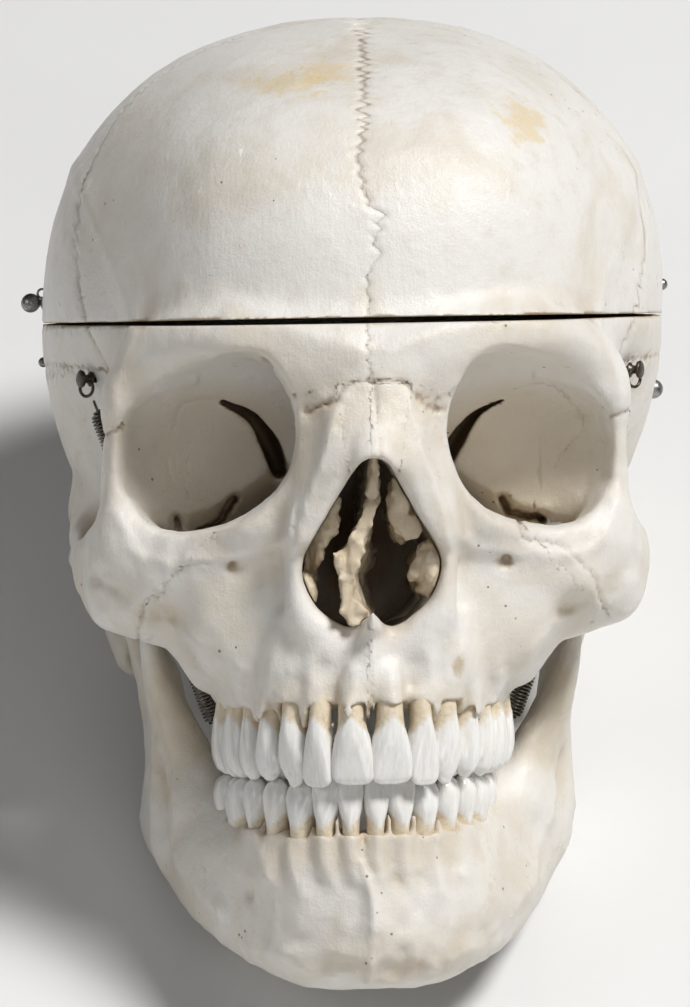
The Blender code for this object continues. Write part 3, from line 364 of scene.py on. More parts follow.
def face_openings(clay):
    """The orbits and their clefts, the nose and the hollows of the cheeks."""
    clay.cut(funnel(ORBIT_CENTRE, ORBIT_APEX, ORBIT_RADII, ORBIT_RAKE, ORBIT_WIDTHS), 1.1)
    clay.cut(strand([(17, -46, 13, 1.6, 12), (19, -46, 18, 2.0, 12), (23, -48, 24, 1.6, 12), (29, -52, 27, 0.9, 10)],
                    flat=(0, 1, 0)), 1)
    clay.cut(strand([(18, -46, 8.6, 1.8, 9), (26, -53, 5.6, 2.2, 9), (34, -59, 3.0, 2.3, 9), (39, -62, 3.4, 1.7, 7)],
                    flat=(0, 0.7, -0.7)), 1)
    clay.cut(pear(NOSE_TOP, NOSE_BOTTOM, -120, -84), 1.2)
    clay.cut(pear((9, 7), (-7, 13), -86, -30), 2)
    clay.swell((21, -91, -8), (6, 6, 7), -2.4)
    clay.swell((28, -84, -14), (7, 6, 7), -2.8)
    clay.swell((7, -93, -23), (3.5, 6, 6), -1.0)
    clay.swell((17.5, -88, -22), (2.6, 6, 9), 1.1)
    clay.swell((0, -93, -24), (2.2, 3, 7), 1.4)
    clay.add(strand([(0, -88, -19.5, 2.4, 2.0), (0, -94.5, -18.5, 1.7, 1.6), (-0.6, -97.5, -16.8, 0.9, 1.0)]), 2.5)
    clay.cut(strand([(26.0, -90, -9.4, 0.9, 1.4), (27.6, -82, -5.4, 1.0, 1.2)]), 2.2)
    clay.cut(strand([(20.5, -90, 34.5, 1.1), (21, -80, 30.5, 1.5)]), 1.6)
    clay.cut(ball((49, -12, -8.4), (11, 6, 5.8), axes_along((-0.25, 1, 0))), 1)


def lower_jaw(clay):
    """The lower jaw without its teeth."""
    clay.add(strand([(0, -76, -80.4, 7, 10), (12, -74.5, -80.4, 6.5, 10), (22.5, -66.5, -77.6, 5.5, 10),
                     (31, -51, -72, 5, 10), (36.2, -35, -67, 4.2, 10), (39.5, -20, -60, 3.4, 9)]), 6)
    clay.add(strand([(0, -84.8, -71.5, 4.4, 10.5), (8, -83.6, -71.5, 4.4, 10.5), (15.5, -78.4, -70.5, 4.5, 10.5),
                     (21, -70, -68.5, 4.8, 10.5), (26.4, -56, -65, 5.4, 10.5), (32, -43, -58, 5, 10)]), 6)
    clay.add(strand([(30, -44, -60, 4.4, 10), (38.6, -32, -58, 3.6, 11)]), 6)
    clay.add(block((40.7, -22, -47), (2.8, 14, 20), 2.8, axes_along((0.03, 1, 0), (0.06, 0.12, 1))), 6)
    clay.add(strand([(39.5, -20, -61, 3.0, 5), (40.7, -10, -58, 3.0, 5), (41.7, -6, -47, 2.9, 4.5),
                     (42.9, -7, -34, 2.9, 4.5), (47, -10, -18, 3, 3.5), (48.5, -12, -11, 4, 4)], flat=(0, 1, 0)), 5)
    clay.add(strand([(33, -46, -56, 5, 5), (35.4, -42, -46, 4.4, 5), (39.4, -38, -37, 3.6, 5), (43, -35, -27, 2.6, 5),
                     (44.6, -35, -16, 1.8, 4), (44.4, -38, -9, 1.4, 2.4)], flat=(0, 1, 0)), 4)
    clay.add(ball((49, -12, -8.6), (9.5, 4.4, 4.2), axes_along((-0.25, 1, 0))), 3)
    clay.swell((0, -84, -86), (7, 6, 7), 2.4)
    clay.swell((0, -88, -72), (2.2, 5, 9), 0.9)
    clay.swell((14, -80, -87), (6, 6, 5), 1.6)
    clay.swell((9, -88, -71), (4.5, 6, 5), -1.1)
    clay.swell((44, -12, -60), (5, 9, 6), 1.0)
    clay.swell((41, -14, -70), (6, 8, 4), 0.9)
    clay.cut(strand([(26.2, -78, -73, 0.4), (24.6, -75.5, -72.5, 0.4)]), 2.0)


# The braincase
VAULT_CENTRE = (0, 8, 50)
VAULT = dict(half=66.0, front=101, back=73, up=60.0, down=74, power=2.22)
BONE_THICK = 6.0
THINNEST_WALL = 4.0

# How finely the clay is meshed, in millimetres
COARSE = 1.0
CAP_CELL = 0.52 * COARSE
FACE_CELL = 0.5 * COARSE
BACK_CELL = 0.8 * COARSE
JAW_CELL = 0.5 * COARSE
NOSE_CELL = 0.35 * COARSE

# The saw cut, open at the brow and closed at the back
SAW_FRONT = (0, -95, 41.4)
SAW_BACK = (0, 75, 48.4)
SAW_OPEN = 1.2
SAW_CLOSES = 1.8
SAW_SLOPE = (SAW_BACK[2] - SAW_FRONT[2]) / (SAW_BACK[1] - SAW_FRONT[1])

# The orbits: rim centre, apex, and radii every 30 degrees from the outer side upward
ORBIT_CENTRE = (32.7, -79, 18)
ORBIT_APEX = (13.0, -40, 12)
ORBIT_RADII = (17.7, 17.3, 15.9, 16.4, 19.6, 18.7, 17.4, 16.6, 15.9, 16.6, 19.2, 18.8)
ORBIT_RAKE = (0.52, -0.10)
ORBIT_WIDTHS = (1.0, 1.03, 0.96, 0.82, 0.64, 0.42, 0.14)

# The nose's opening as two circles on the midline, each (z, radius)
NOSE_TOP = (10.8, 3.9)
NOSE_BOTTOM = (-6.6, 12.6)

# The rows of teeth: the outer face of each arch is half an ellipse round (0, ARCH_BACK)
ARCH_BACK = -47
UPPER_ARCH = (32.0, 48.5)
LOWER_ARCH = (29.6, 43.8)
BITE_LEVEL = -49.4
UPPER_NECK = -38
LOWER_NECK = -57.8
# The jaw hangs a little to the left, and its teeth stand a little to the right
JAW_SHIFT = 0.8
LOWER_SHIFT = -1.3

# A real skull is never quite even, and it lies back on the two corners of its jaw and on its nape
SKEW = Matrix(((1, 0, 0.004, -0.08), (0, 1, 0, 0), (0.018, 0, 1, 0), (0, 0, 0, 1)))
REST_TURN = Euler((math.radians(-38.3), math.radians(0.8), 0))
REST_SPOT = Vector((0.29, 7.93, 46.6))
REST = Matrix.Translation(REST_SPOT * MM) @ REST_TURN.to_matrix().to_4x4() @ Matrix.Scale(MM, 4)
PLACE = np.array(REST @ SKEW)

Kind = namedtuple("Kind", "shape width depth crown root")
UPPER_TEETH = (
    Kind("incisor", 8.7, 6.6, 11.4, 11), Kind("incisor", 6.6, 5.8, 11.8, 11), Kind("canine", 7.6, 7.6, 12.0, 14),
    Kind("premolar", 7.0, 8.6, 11.1, 11), Kind("premolar", 6.6, 8.6, 11.1, 11), Kind("molar", 10.0, 10.6, 11.0, 10),
    Kind("molar", 9.4, 10.2, 10.6, 9),
)
LOWER_TEETH = (
    Kind("incisor", 5.5, 5.6, 9.0, 10), Kind("incisor", 6.1, 5.8, 9.0, 10), Kind("canine", 7.0, 7.2, 9.3, 13),
    Kind("premolar", 7.0, 7.4, 8.45, 11), Kind("premolar", 7.0, 7.8, 8.4, 11), Kind("molar", 10.6, 9.8, 8.3, 10),
    Kind("molar", 10.2, 9.6, 8.2, 9),
)

Seat = namedtuple("Seat", "kind spot along out up")


def seats(teeth, arch, neck):
    """Where each tooth of one side stands: its neck on the arch, with its own directions."""
    half, deep = arch
    turn = np.linspace(0, math.pi / 2, 400)
    curve = np.stack([half * np.sin(turn), ARCH_BACK - deep * np.cos(turn)], axis=1)
    length = np.concatenate([[0], np.cumsum(np.linalg.norm(np.diff(curve, axis=0), axis=1))])
    start = 0.15
    for kind in teeth:
        middle = start + kind.width / 2
        x, y = (np.interp(middle, length, curve[:, i]) for i in range(2))
        ahead = [np.interp(middle + 1, length, curve[:, i]) - np.interp(middle - 1, length, curve[:, i])
                 for i in range(2)]
        along = Vector((ahead[0], ahead[1], 0)).normalized()
        out = Vector((along.y, -along.x, 0))
        up = Vector((0, 0, 1 if neck > BITE_LEVEL else -1))
        spot = Vector((x, y, neck)) - out * (kind.depth / 2)
        yield Seat(kind, spot, along, out, up)
        start += kind.width


def root_swellings(clay, teeth, arch, neck):
    """The low ridges that the roots raise on the jaw."""
    for seat in seats(teeth, arch, neck):
        foot = seat.spot + seat.out * (seat.kind.depth / 2 - 2.5)
        tip = foot + seat.up * (seat.kind.root * 0.85) - seat.out * 1.2
        clay.add(strand([(*foot, seat.kind.width * 0.36), (*tip, 1.8)]), 3)


def smooth_steps(axis, pitch, count):
    """The share of each lattice value at each place of an axis, as a matrix that eases between neighbours."""
    place = axis / pitch + count / 2
    low = np.floor(place).astype(int)
    t = place - low
    t = t * t * (3 - 2 * t)
    share = np.zeros((len(axis), count), np.float32)
    rows = np.arange(len(axis))
    share[rows, low] = 1 - t
    share[rows, low + 1] += t
    return share


def unevenness(axes, pitch, seed):
    """Soft random values from -1 to 1 over a grid: a fixed random lattice, eased between its points."""
    count = int(250 / pitch) + 4
    lattice = np.random.default_rng(seed).uniform(-1, 1, (count,) * 3).astype(np.float32)
    for axis in axes:
        lattice = np.tensordot(lattice, smooth_steps(axis, pitch, count), axes=(0, 1))
    return lattice


def zigzag(s, pitch, seed=0.0):
    """A wave from -1 to 1 with uneven teeth: a triangle wave whose phase and height wander."""
    t = s / pitch + 0.35 * np.sin(0.37 * s / pitch + seed) + 0.2 * np.sin(1.9 * s / pitch + 2 * seed)
    teeth = 4 * np.abs(t - np.floor(t + 0.5)) - 1
    return teeth * (0.6 + 0.4 * np.sin(0.61 * s / pitch + 3 * seed)) + 0.3 * np.sin(4.7 * s / pitch + seed)


def flat_side(point, normal):
    """The signed distance past a plane, for points given as open grids."""
    normal = np.array(normal, float) / np.linalg.norm(normal)
    return lambda x, y, z: (x - point[0]) * normal[0] + (y - point[1]) * normal[1] + (z - point[2]) * normal[2]


# The middle seam: how far it wanders to the left at each height of the brow, and how wide its teeth are
# at each millimetre along the arc from brow to nape
DRIFT_HEIGHTS = (28, 41, 44, 47, 51, 55, 58, 62.5, 66, 69, 75, 81, 86, 95, 106)
DRIFTS = (-0.7, -1.3, -0.8, -1.0, -1.1, 1.3, 0.1, 2.0, -1.2, -1.9, -2.9, -1.3, -1.3, -0.4, 0.4)
ARC_RADIUS = 80
TEETH_AT = (0, 12, 24, 46, 58, 68, 200)
TEETH_WIDE = (0.45, 0.7, 1.0, 1.4, 1.9, 2.5, 2.6)
CORONAL_TEETH = (1.5, 2.6)
CORONAL_STEEP = math.hypot(1, 4 * CORONAL_TEETH[0] / CORONAL_TEETH[1])


def middle_seam(x, y, z):
    """How far each point lies to the left of the middle seam, and how steeply the seam's teeth run there."""
    arc = ARC_RADIUS * np.arctan2(z - 35, 5 - y)
    front = np.clip((-10 - y) / 40, 0, 1)
    drift = np.interp(z, DRIFT_HEIGHTS, DRIFTS) * front
    wide = np.interp(arc, TEETH_AT, TEETH_WIDE)
    pitch = np.interp(arc, (58, 70), (2.1, 3.0))
    return x - drift - wide * zigzag(arc, pitch, 0.7), np.hypot(1, 4 * wide / pitch)


def saw_cut(y, z, opening):
    """The height above the saw cut, whose lower lip is the line from SAW_FRONT to SAW_BACK."""
    lift = opening * (np.clip(SAW_BACK[1] - y, 0, None) / (SAW_BACK[1] - SAW_FRONT[1])) ** SAW_CLOSES
    return z - SAW_FRONT[2] - SAW_SLOPE * (y - SAW_FRONT[1]) - lift


coronal_plane = flat_side((0, -20, 107), (0, 0.922, -0.387))


def coronal(x, y, z):
    """The seam across the cap, from temple to temple: a leaning plane with teeth."""
    return coronal_plane(x, y, z) + CORONAL_TEETH[0] * zigzag(x + 0.6 * z, CORONAL_TEETH[1], 2.1)


def frontal_foot(x, y, z):
    """The lower edge of the brow bone: the comb-like seam over the nose and across the orbit to the cheek."""
    return 28.6 - 0.14 * (x - 3) - z + 0.9 * zigzag(x + 0.4 * y, 1.5, 0.4) * np.clip((30 - x) / 12, 0.3, 1)


def cheek_seam(x, y, z):
    """The seam between cheek bone and upper jaw: down and out from the orbit's floor, then straight down."""
    slant = flat_side((31.2, 0, 0.2), (-0.717, 0, -0.697))(x, y, z)
    return np.minimum(slant, 46.2 - x) + 0.7 * zigzag(z - x, 3.2, 1.3)


def brow_cheek_seam(x, y, z):
    """The level seam between brow and cheek bone, at the orbit's outer side."""
    return z - 22.5 + 0.5 * zigzag(x + y, 2.0, 0.2)


def squama(x, y, z):
    """The scaly upper edge of the temple bone."""
    return 34.3 - z + 1.2 * zigzag(y, 5.0, 0.9) + 0 * x


# Each bone's cell as fields that must all be below zero, for the left side; the flag adds the middle seam
CELLS = {
    "cap_frontal": ((coronal,), True),
    "cap_parietal": ((), True),
    "nasal": ((flat_side((6.2, 0, 20), (1, 0, -0.15)), lambda x, y, z: z - 29.4 + 0 * (x + y),
               flat_side((0, 0, 9), (0, 0, -1)), flat_side((0, -88, 28), (0, 1, 0.35))), True),
    "zygomatic": ((brow_cheek_seam, cheek_seam, flat_side((36, -56, 0), (-0.64, 0.77, 0))), False),
    "maxilla": ((flat_side((0, -92, 27), (0, 0.47, 0.88)), flat_side((0, -39, 0), (0, 1, 0))), True),
    "frontal": ((frontal_foot, coronal), True),
    "parietal": ((squama, lambda x, y, z: -coronal(x, y, z), flat_side((0, 46.5, 40), (0, 1, 0))), True),
    "temporal": ((flat_side((31, 0, 0), (-1, 0, 0)), flat_side((36, -20, 0), (-0.663, -0.75, 0)),
                  flat_side((0, 33, 0), (0, 1, 0.2))), False),
    "occipital": ((flat_side((0, -7, -14), (0, -1, 0.35)),), None),
}
SIDES = {"left": 1, "right": -1}
# Neighbouring bones run this far into each other, so that no slit shows
HEALED = 0.7


def cell_field(name, side, grids, middle):
    """How far each point lies outside a bone's cell."""
    x, y, z = grids
    fields, halved = CELLS[name]
    turned_x = x * SIDES[side] if side else x
    found = [field(turned_x, y, z) for field in fields]
    if halved:
        found.append(-middle * SIDES[side])
    outside = -1e3
    for field in found:
        outside = np.maximum(outside, field)
    return outside


def sampled(clay, values, points):
    """The values on the clay's grid, at any points between its own."""
    spot = [(points[:, i] - clay.axes[i][0]) / clay.cell for i in range(3)]
    low = [np.clip(np.floor(s).astype(int), 0, n - 2) for s, n in zip(spot, values.shape)]
    share = [np.clip(s - l, 0, 1) for s, l in zip(spot, low)]
    total = 0
    for corner in np.ndindex(2, 2, 2):
        weight = 1
        for i in range(3):
            weight = weight * (share[i] if corner[i] else 1 - share[i])
        total = total + weight * values[low[0] + corner[0], low[1] + corner[1], low[2] + corner[2]]
    return total


def piece(name, points, faces, nodes, material):
    """A finished piece in its place: points in millimetres, carried to where the skull rests."""
    points = np.asarray(points, float)
    placed = points @ PLACE[:3, :3].T + PLACE[:3, 3]
    mesh = bpy.data.meshes.new(name)
    mesh.from_pydata(placed.tolist(), [], faces)
    mesh.materials.append(material)
    mesh.shade_smooth()
    made = bpy.data.objects.new(name, mesh)
    bpy.context.scene.collection.objects.link(made)
    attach(made, "root")
    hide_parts(*nodes)
    return made


def painted(thing, name, values):
    """Keeps a value for each point of a piece's mesh, for its material to read."""
    layer = thing.data.attributes.new(name, "FLOAT", "POINT")
    layer.data.foreach_set("value", np.asarray(values, np.float32).ravel())


def bone_piece(name, depth, clay, nodes, material, fineness=0.015, aside=None):
    """Meshes one bone out of the clay, each point moved aside as aside says.

    Its points know how open the air before them is, near and further off, which the bone materials turn into painted
    shade in hollows, and how deep in a seam they lie.
    """
    limit = 3 * clay.cell
    inside = depth < limit
    spans = []
    for i in range(3):
        used = np.flatnonzero(inside.any(axis=tuple(j for j in range(3) if j != i)))
        spans.append(slice(max(used[0] - 1, 0), used[-1] + 2))
    grid = openvdb.FloatGrid(limit)
    grid.copyFromArray(np.ascontiguousarray(np.clip(depth[tuple(spans)], -limit, limit)))
    points, corners, quads = grid.convertToPolygons(0.0, fineness)
    start = np.array([axis[span.start] for axis, span in zip(clay.axes, spans)])
    points = points.astype(float) * clay.cell + start
    placed = points.copy()
    if aside:
        placed[:, 0] += aside(*points.T)
    made = piece(name, placed, [*corners.tolist(), *quads.tolist()], nodes, material)
    normals = np.zeros(len(points) * 3, np.float32)
    made.data.vertex_normals.foreach_get("vector", normals)
    normals = normals.reshape(-1, 3) @ np.array(REST_TURN.to_matrix())
    # How open the air is before each point, near and further off: the bone materials paint shade where it is closed in
    for title, reach in (("near_air", 1.6), ("far_air", 5.0)):
        painted(made, title, np.clip(sampled(clay, clay.depth, points + normals * reach) / reach, 0, 1))
    painted(made, "seam", sampled(clay, clay.marks, points))
    return made


def parted(clay, rest, middle, jobs, material):
    """Takes bones from what is left of the clay, one after the other, and returns what remains."""
    grids = np.ix_(*(axis.astype(np.float32) for axis in clay.axes))
    for node, side, keep in jobs:
        outside = cell_field(node, side, grids, middle)
        if keep:
            name = f"{node}_{side}" if side else node
            bone_piece(f"{name}_bone", np.maximum(rest, outside - HEALED), clay, [name], material)
        rest = np.maximum(rest, -outside - HEALED)
    return rest


def line_distance(a, b, path):
    """How far each point (a, b) of two open grids lies from a chain of straight runs."""
    nearest = np.full(np.broadcast(a, b).shape, 1e3, np.float32)
    for (a0, b0), (a1, b1) in zip(path[:-1], path[1:]):
        run = (a1 - a0) ** 2 + (b1 - b0) ** 2 + 1e-9
        t = np.clip(((a - a0) * (a1 - a0) + (b - b0) * (b1 - b0)) / run, 0, 1)
        nearest = np.minimum(nearest, np.hypot(a - a0 - t * (a1 - a0), b - b0 - t * (b1 - b0)))
    return nearest


def engrave(clay, seen_along, path, reach, width, amount, wobble, pitch, brown):
    """Draws a groove, or a ridge where amount is negative, on every surface that lies in reach along one axis.

    path runs in the other two axes and is smoothed, then wobbles to both sides like a seam. The groove's section
    is a bell curve.
    """
    path = np.array(path, float)
    rough_length = np.linalg.norm(np.diff(path, axis=0), axis=1).sum()
    path = smooth_path(path, int(rough_length / 0.3) + 2)
    steps = np.gradient(path, axis=0)
    along = np.cumsum(np.linalg.norm(steps, axis=1))
    normal = np.stack([-steps[:, 1], steps[:, 0]], axis=1) / np.linalg.norm(steps, axis=1, keepdims=True)
    path = path + normal * (wobble * zigzag(along, pitch, path[0, 0]))[:, None]
    margin = 3 * width + 1
    low, high = path.min(axis=0) - margin, path.max(axis=0) + margin
    low, high = np.insert(low, seen_along, reach[0]), np.insert(high, seen_along, reach[1])
    spans, grids = clay.window(low, high)
    if clay.depth[spans].size:
        others = [grid for i, grid in enumerate(grids) if i != seen_along]
        mark = np.exp(-(line_distance(*others, path) / width) ** 2)
        clay.depth[spans] += np.float32(amount) * mark
        clay.marks[spans] = np.maximum(clay.marks[spans], brown * mark)


def engrave_field(clay, field, width, amount, brown, above):
    """Draws a groove where a field over the whole grid is zero, above a height."""
    mark = np.exp(-(field / width) ** 2) * np.clip(clay.axes[2] - above, 0, 1)
    clay.depth += (amount * mark).astype(np.float32)
    clay.marks = np.maximum(clay.marks, brown * mark).astype(np.float32)


# The seams that show in front, in (x, z), and their reach along y
BROW_NOSE_SEAM = ((-13.3, 23.9), (-10.4, 25.2), (-7.4, 26.2), (-5.4, 29.2), (-0.8, 29.8), (5.5, 29.6), (7.9, 27.6),
                  (10.5, 25.2), (13.4, 23.9))
COMBS = (((-13.8, 24.6), (-7.2, 26.4)), ((8.2, 27.0), (14.4, 23.6)))
NOSE_SEAM = ((0.0, 29.6), (0.4, 25), (1.2, 15.0))
RIGHT_CHEEK_SEAM = ((-32.0, -5.7), (-36.5, -6.1), (-40.1, -9.0), (-41.5, -12.0), (-44.6, -12.6), (-45.2, -17.0),
                    (-46.0, -19.3), (-46.0, -22.5))
LEFT_CHEEK_SEAM = ((30.2, 2.8), (30.6, -1.7), (34.1, -2.5), (39.5, -3.9), (42.6, -6.9), (45.8, -10.0), (47.0, -13.6),
                   (48.4, -16.2), (49.6, -18.0))
LEFT_ORBIT_SEAM = ((30.1, 28.5), (34.6, 29.5), (38.7, 28.5), (40.9, 26.6), (43.6, 23.6), (44.6, 20.5), (42.4, 17.7),
                   (40.1, 14.6), (39.1, 11.9))
RIGHT_ORBIT_SEAM = ((-39.3, 21.1), (-37.3, 26.4), (-30.6, 27.7))
RIGHT_ORBIT_CRACK = ((-40.4, 14.6), (-39.1, 10.5))
OUTER_BROW_SEAMS = (((49.5, 22.4), (55, 24.4)), ((-49.5, 21.9), (-55, 19.8)))
# The temple's line and the scaly seam, in (y, z)
TEMPLE_LINE = ((-72, 27), (-69, 36), (-62, 50), (-49, 64), (-28, 75), (5, 79), (36, 70), (52, 50))
SCALE_SEAM = ((-60, 27), (-52, 33.2), (-38, 35), (-10, 36.5), (12, 35), (28, 28), (38, 14))


# The face's grooves and ridges as (path, reach along y, width, depth, wobble, pitch of the wobble, how brown)
FRONT_GROOVES = (
    (BROW_NOSE_SEAM, (-110, -80), 0.38, 0.35, 0.35, 1.3, 0.6),
    *((comb, (-110, -76), 0.32, 0.35, 1.5, 1.25, 0.55) for comb in COMBS),
    (NOSE_SEAM, (-112, -90), 0.34, 0.3, 0.18, 2.2, 0.5),
    (RIGHT_CHEEK_SEAM, (-90, -50), 0.38, 0.4, 0.45, 1.9, 0.52),
    (LEFT_CHEEK_SEAM, (-90, -50), 0.38, 0.4, 0.45, 1.7, 0.52),
    (LEFT_ORBIT_SEAM, (-76, -44), 0.32, 0.25, 0.4, 1.4, 0.5),
    (RIGHT_ORBIT_SEAM, (-76, -44), 0.32, 0.25, 0.35, 1.5, 0.4),
    (RIGHT_ORBIT_CRACK, (-74, -50), 0.32, 0.25, 0.2, 1.4, 0.4),
    *((seam, (-82, -50), 0.45, 0.35, 0.5, 1.3, 0.7) for seam in OUTER_BROW_SEAMS),
    (((-0.3, -19), (-0.1, -28), (-0.3, -36)), (-102, -86), 0.9, -0.45, 0.15, 4.0, 0.0),
    (((-0.5, -20), (-0.2, -30), (-0.4, -36)), (-102, -86), 0.3, 0.22, 0.15, 2.6, 0.5),
)


# Low ridges of the face's left side, in (x, z), each with its reach along y, width and height
FACE_RIDGES = (
    (((15, 4), (18, -1.5), (24, -4.2), (32, -5), (41, -5.4), (47, -3), (50.5, 5)), (-95, -62), 1.4, 0.55),
    (((54, -11), (48, -16.5), (40, -18.5), (34.5, -23), (32, -30)), (-80, -50), 1.8, 0.6),
    (((6.8, 27), (9.6, 17), (12.8, 7), (15.4, -3)), (-104, -84), 1.1, 0.5),
    (((3, 36), (11, 38.6), (21, 42.5), (28, 43)), (-105, -80), 2.6, 0.7),
    (((51.5, 25), (50.5, 33), (48, 41), (47, 48)), (-80, -50), 1.7, 0.6),
    (((40, -1), (42, -8), (46, -14)), (-80, -60), 2.2, 0.4),
    (((22.0, -36), (20.4, -27), (18.6, -17)), (-98, -76), 1.9, 0.9),
    (((13.0, -35), (12.2, -26)), (-100, -78), 1.6, 0.7), (((4.6, -35), (4.2, -27)), (-104, -82), 1.9, 0.6),
    (((27.0, -35), (26.0, -27)), (-92, -60), 1.7, 0.6),
)
# The clefts over the orbits' floors, in (x, z), drawn as deep grooves in full seam brown: a painted shadow for the open
# clefts
FISSURES = (((-38.2, 3.4), (-36.6, -0.6), (-33.0, 1.0), (-30.1, 2.0), (-26.5, 7.2)),
            ((29.0, 6.4), (30.3, 3.8), (33.6, 2.7), (37.2, 2.2)))


# Where the bone is rougher, as (centre, reach)
ROUGH_PLACES = (((50, -62, -8), (9, 12, 10)), ((-50, -62, -8), (9, 12, 10)), ((0, -90, -30), (26, 14, 8)),
                ((0, -94, 27), (14, 8, 7)), ((0, 70, 4), (40, 20, 14)))


def face_relief(clay):
    """The face's low ridges, its rough patches, the clefts over the orbits' floors with their painted shadow, and its
    fine seams.
    """
    for side in SIDES.values():
        for path, reach, width, height in FACE_RIDGES:
            engrave(clay, 1, [(side * x, z) for x, z in path], reach, width, -height, 0.3, 6.0, 0.0)
        clay.swell((side * 24, -86, -15), (5, 6, 6), -1.0)
    for path in FISSURES:
        # Brown 1.0 paints the cleft grooves dark: painted shadow of the open clefts
        engrave(clay, 1, path, (-70, -46), 0.8, 2.6, 0.25, 2.4, 1.0)
    rough = 0.34 * unevenness(clay.axes, 2.7, 11)
    for centre, reach in ROUGH_PLACES:
        x, y, z = np.ix_(*[((axis - middle) / wide) ** 2 for axis, middle, wide in zip(clay.axes, centre, reach)])
        clay.depth += (rough * np.exp(-0.5 * x) * np.exp(-0.5 * y) * np.exp(-0.5 * z)).astype(np.float32)
    for groove in FRONT_GROOVES:
        engrave(clay, 1, *groove)


def side_seams(clay):
    """The temple's raised line and its scaly seam, on both sides."""
    for reach in ((-76, -34), (34, 76)):
        engrave(clay, 0, TEMPLE_LINE, reach, 2.4, -0.55, 0.0, 5.0, 0.0)
        engrave(clay, 0, SCALE_SEAM, reach, 0.5, 0.35, 0.7, 3.1, 0.8)


# The scoops at the tooth necks: their half size as a share of the tooth's width and depth, and their half heights
SCOOP_WIDE = 0.38
SCOOP_DEEP = 0.50
UPPER_SCOOPS = (4.2, 4.0, 4.2, 3.4, 3.0, 2.6, 2.2)
LOWER_SCOOPS = (2.8, 2.8, 3.0, 2.4, 1.6, 0.5, 0.0)
# The grooves of the cap's two seams
MIDDLE_GROOVE = dict(width=0.29, amount=0.35, brown=0.62, above=29.5)
CORONAL_GROOVE = dict(width=0.42, amount=0.3, brown=0.5, above=33.0)
# Soft dents all over the bone as (pitch, height, seed)
DENTS = ((24.0, 0.35, 5), (9.0, 0.26, 1), (3.7, 0.12, 2), (1.9, 0.06, 3))
# The flats that it rests on stand this far above the floor, in millimetres
FLOOR_FLAT = 0.02


def socket_scoops(clay, teeth, arch, neck, heights):
    """Scoops the bone's edge back from each tooth's neck, so that the upper part of its root shows."""
    for seat, height in zip(seats(teeth, arch, neck), heights):
        for side in SIDES.values():
            turn = np.array((side, 1, 1))
            centre = (np.array(seat.spot) + np.array(seat.out) * 0.7) * turn
            axes = [tuple(np.array(axis) * turn) for axis in (seat.along, seat.out, seat.up)]
            half = (seat.kind.width * SCOOP_WIDE, seat.kind.depth * SCOOP_DEEP, height)
            clay.cut(block(centre, half, 1.0, axes), 0.7)


def sculpted(low, high, cell):
    """The skull above the jaw, within a window, with the light unevenness of real bone and its seams."""
    clay = Clay(low, high, cell)
    braincase(clay)
    face(clay)
    root_swellings(clay, UPPER_TEETH[:5], UPPER_ARCH, UPPER_NECK)
    face_openings(clay)
    brain_hollow(clay)
    clay = roughened(clay.whole(), 1.0)
    socket_scoops(clay, UPPER_TEETH, UPPER_ARCH, UPPER_NECK, UPPER_SCOOPS)
    face_relief(clay)
    side_seams(clay)
    grids = np.ix_(*clay.axes)
    middle, steep = middle_seam(*grids)
    engrave_field(clay, middle / steep, **MIDDLE_GROOVE)
    engrave_field(clay, coronal(*grids) / CORONAL_STEEP, **CORONAL_GROOVE)
    return clay, middle


def roughened(clay, share):
    """The same clay with an uneven surface: soft dents of several sizes."""
    for pitch, height, seed in DENTS:
        clay.depth += share * height * unevenness(clay.axes, pitch, seed)
    clay.marks = np.zeros_like(clay.depth)
    return clay


def above_floor(clay, shift=0.0):
    """Trims the clay flat where it rests on the floor."""
    x, y, z = np.ix_(*clay.axes)
    height = PLACE[2, 0] * (x + shift) + PLACE[2, 1] * y + PLACE[2, 2] * z + PLACE[2, 3]
    clay.depth = np.maximum(clay.depth, FLOOR_FLAT - height / MM).astype(np.float32)


# Sections of a tooth from root tip to biting edge: (height, width scale, depth scale, squareness, outward shift).
# The height runs from -1 at the root tip through 0 at the neck to 1 at the edge.
TOOTH_SECTIONS = {
    "incisor": ((-1, 0.26, 0.3, 2, -0.26), (-0.5, 0.58, 0.78, 2, -0.08), (0, 0.66, 0.94, 2, 0),
                (0.3, 0.84, 0.95, 2.4, 0), (0.65, 1.0, 0.66, 2.8, 0.04), (0.93, 0.98, 0.36, 3.4, 0.10),
                (1, 0.90, 0.22, 3.4, 0.12)),
    "canine": ((-1, 0.26, 0.3, 2, -0.26), (-0.5, 0.64, 0.78, 2, -0.08), (0, 0.72, 0.92, 2, 0), (0.3, 0.87, 1.0, 2.2, 0),
               (0.6, 1.0, 0.8, 2.3, 0.04), (0.85, 0.80, 0.5, 2.2, 0.08), (1, 0.5, 0.22, 2, 0.1)),
    "premolar": ((-1, 0.25, 0.3, 2, 0), (-0.5, 0.55, 0.75, 2, 0), (0, 0.72, 0.9, 2, 0), (0.35, 0.89, 1.0, 2.3, 0),
                 (0.65, 1.0, 1.0, 2.4, 0), (0.9, 0.86, 0.84, 2.4, 0), (1, 0.66, 0.6, 2.2, 0)),
    "molar": ((-1, 0.35, 0.4, 2.2, 0), (-0.5, 0.7, 0.75, 2.4, 0), (0, 0.86, 0.9, 2.6, 0), (0.35, 0.97, 1.0, 2.8, 0),
              (0.65, 1.0, 1.0, 2.9, 0), (0.9, 0.9, 0.87, 2.9, 0), (1, 0.72, 0.7, 2.6, 0)),
}
TOOTH_STEPS = 34
TOOTH_SIDES = 40
# Rings that close a crown's top as (scale, height past the edge), and how far an incisor's edge leans to one side
CROWN_CLOSE = ((0.86, 0.035), (0.62, 0.055), (0.32, 0.062))
EDGE_LEAN = 0.4


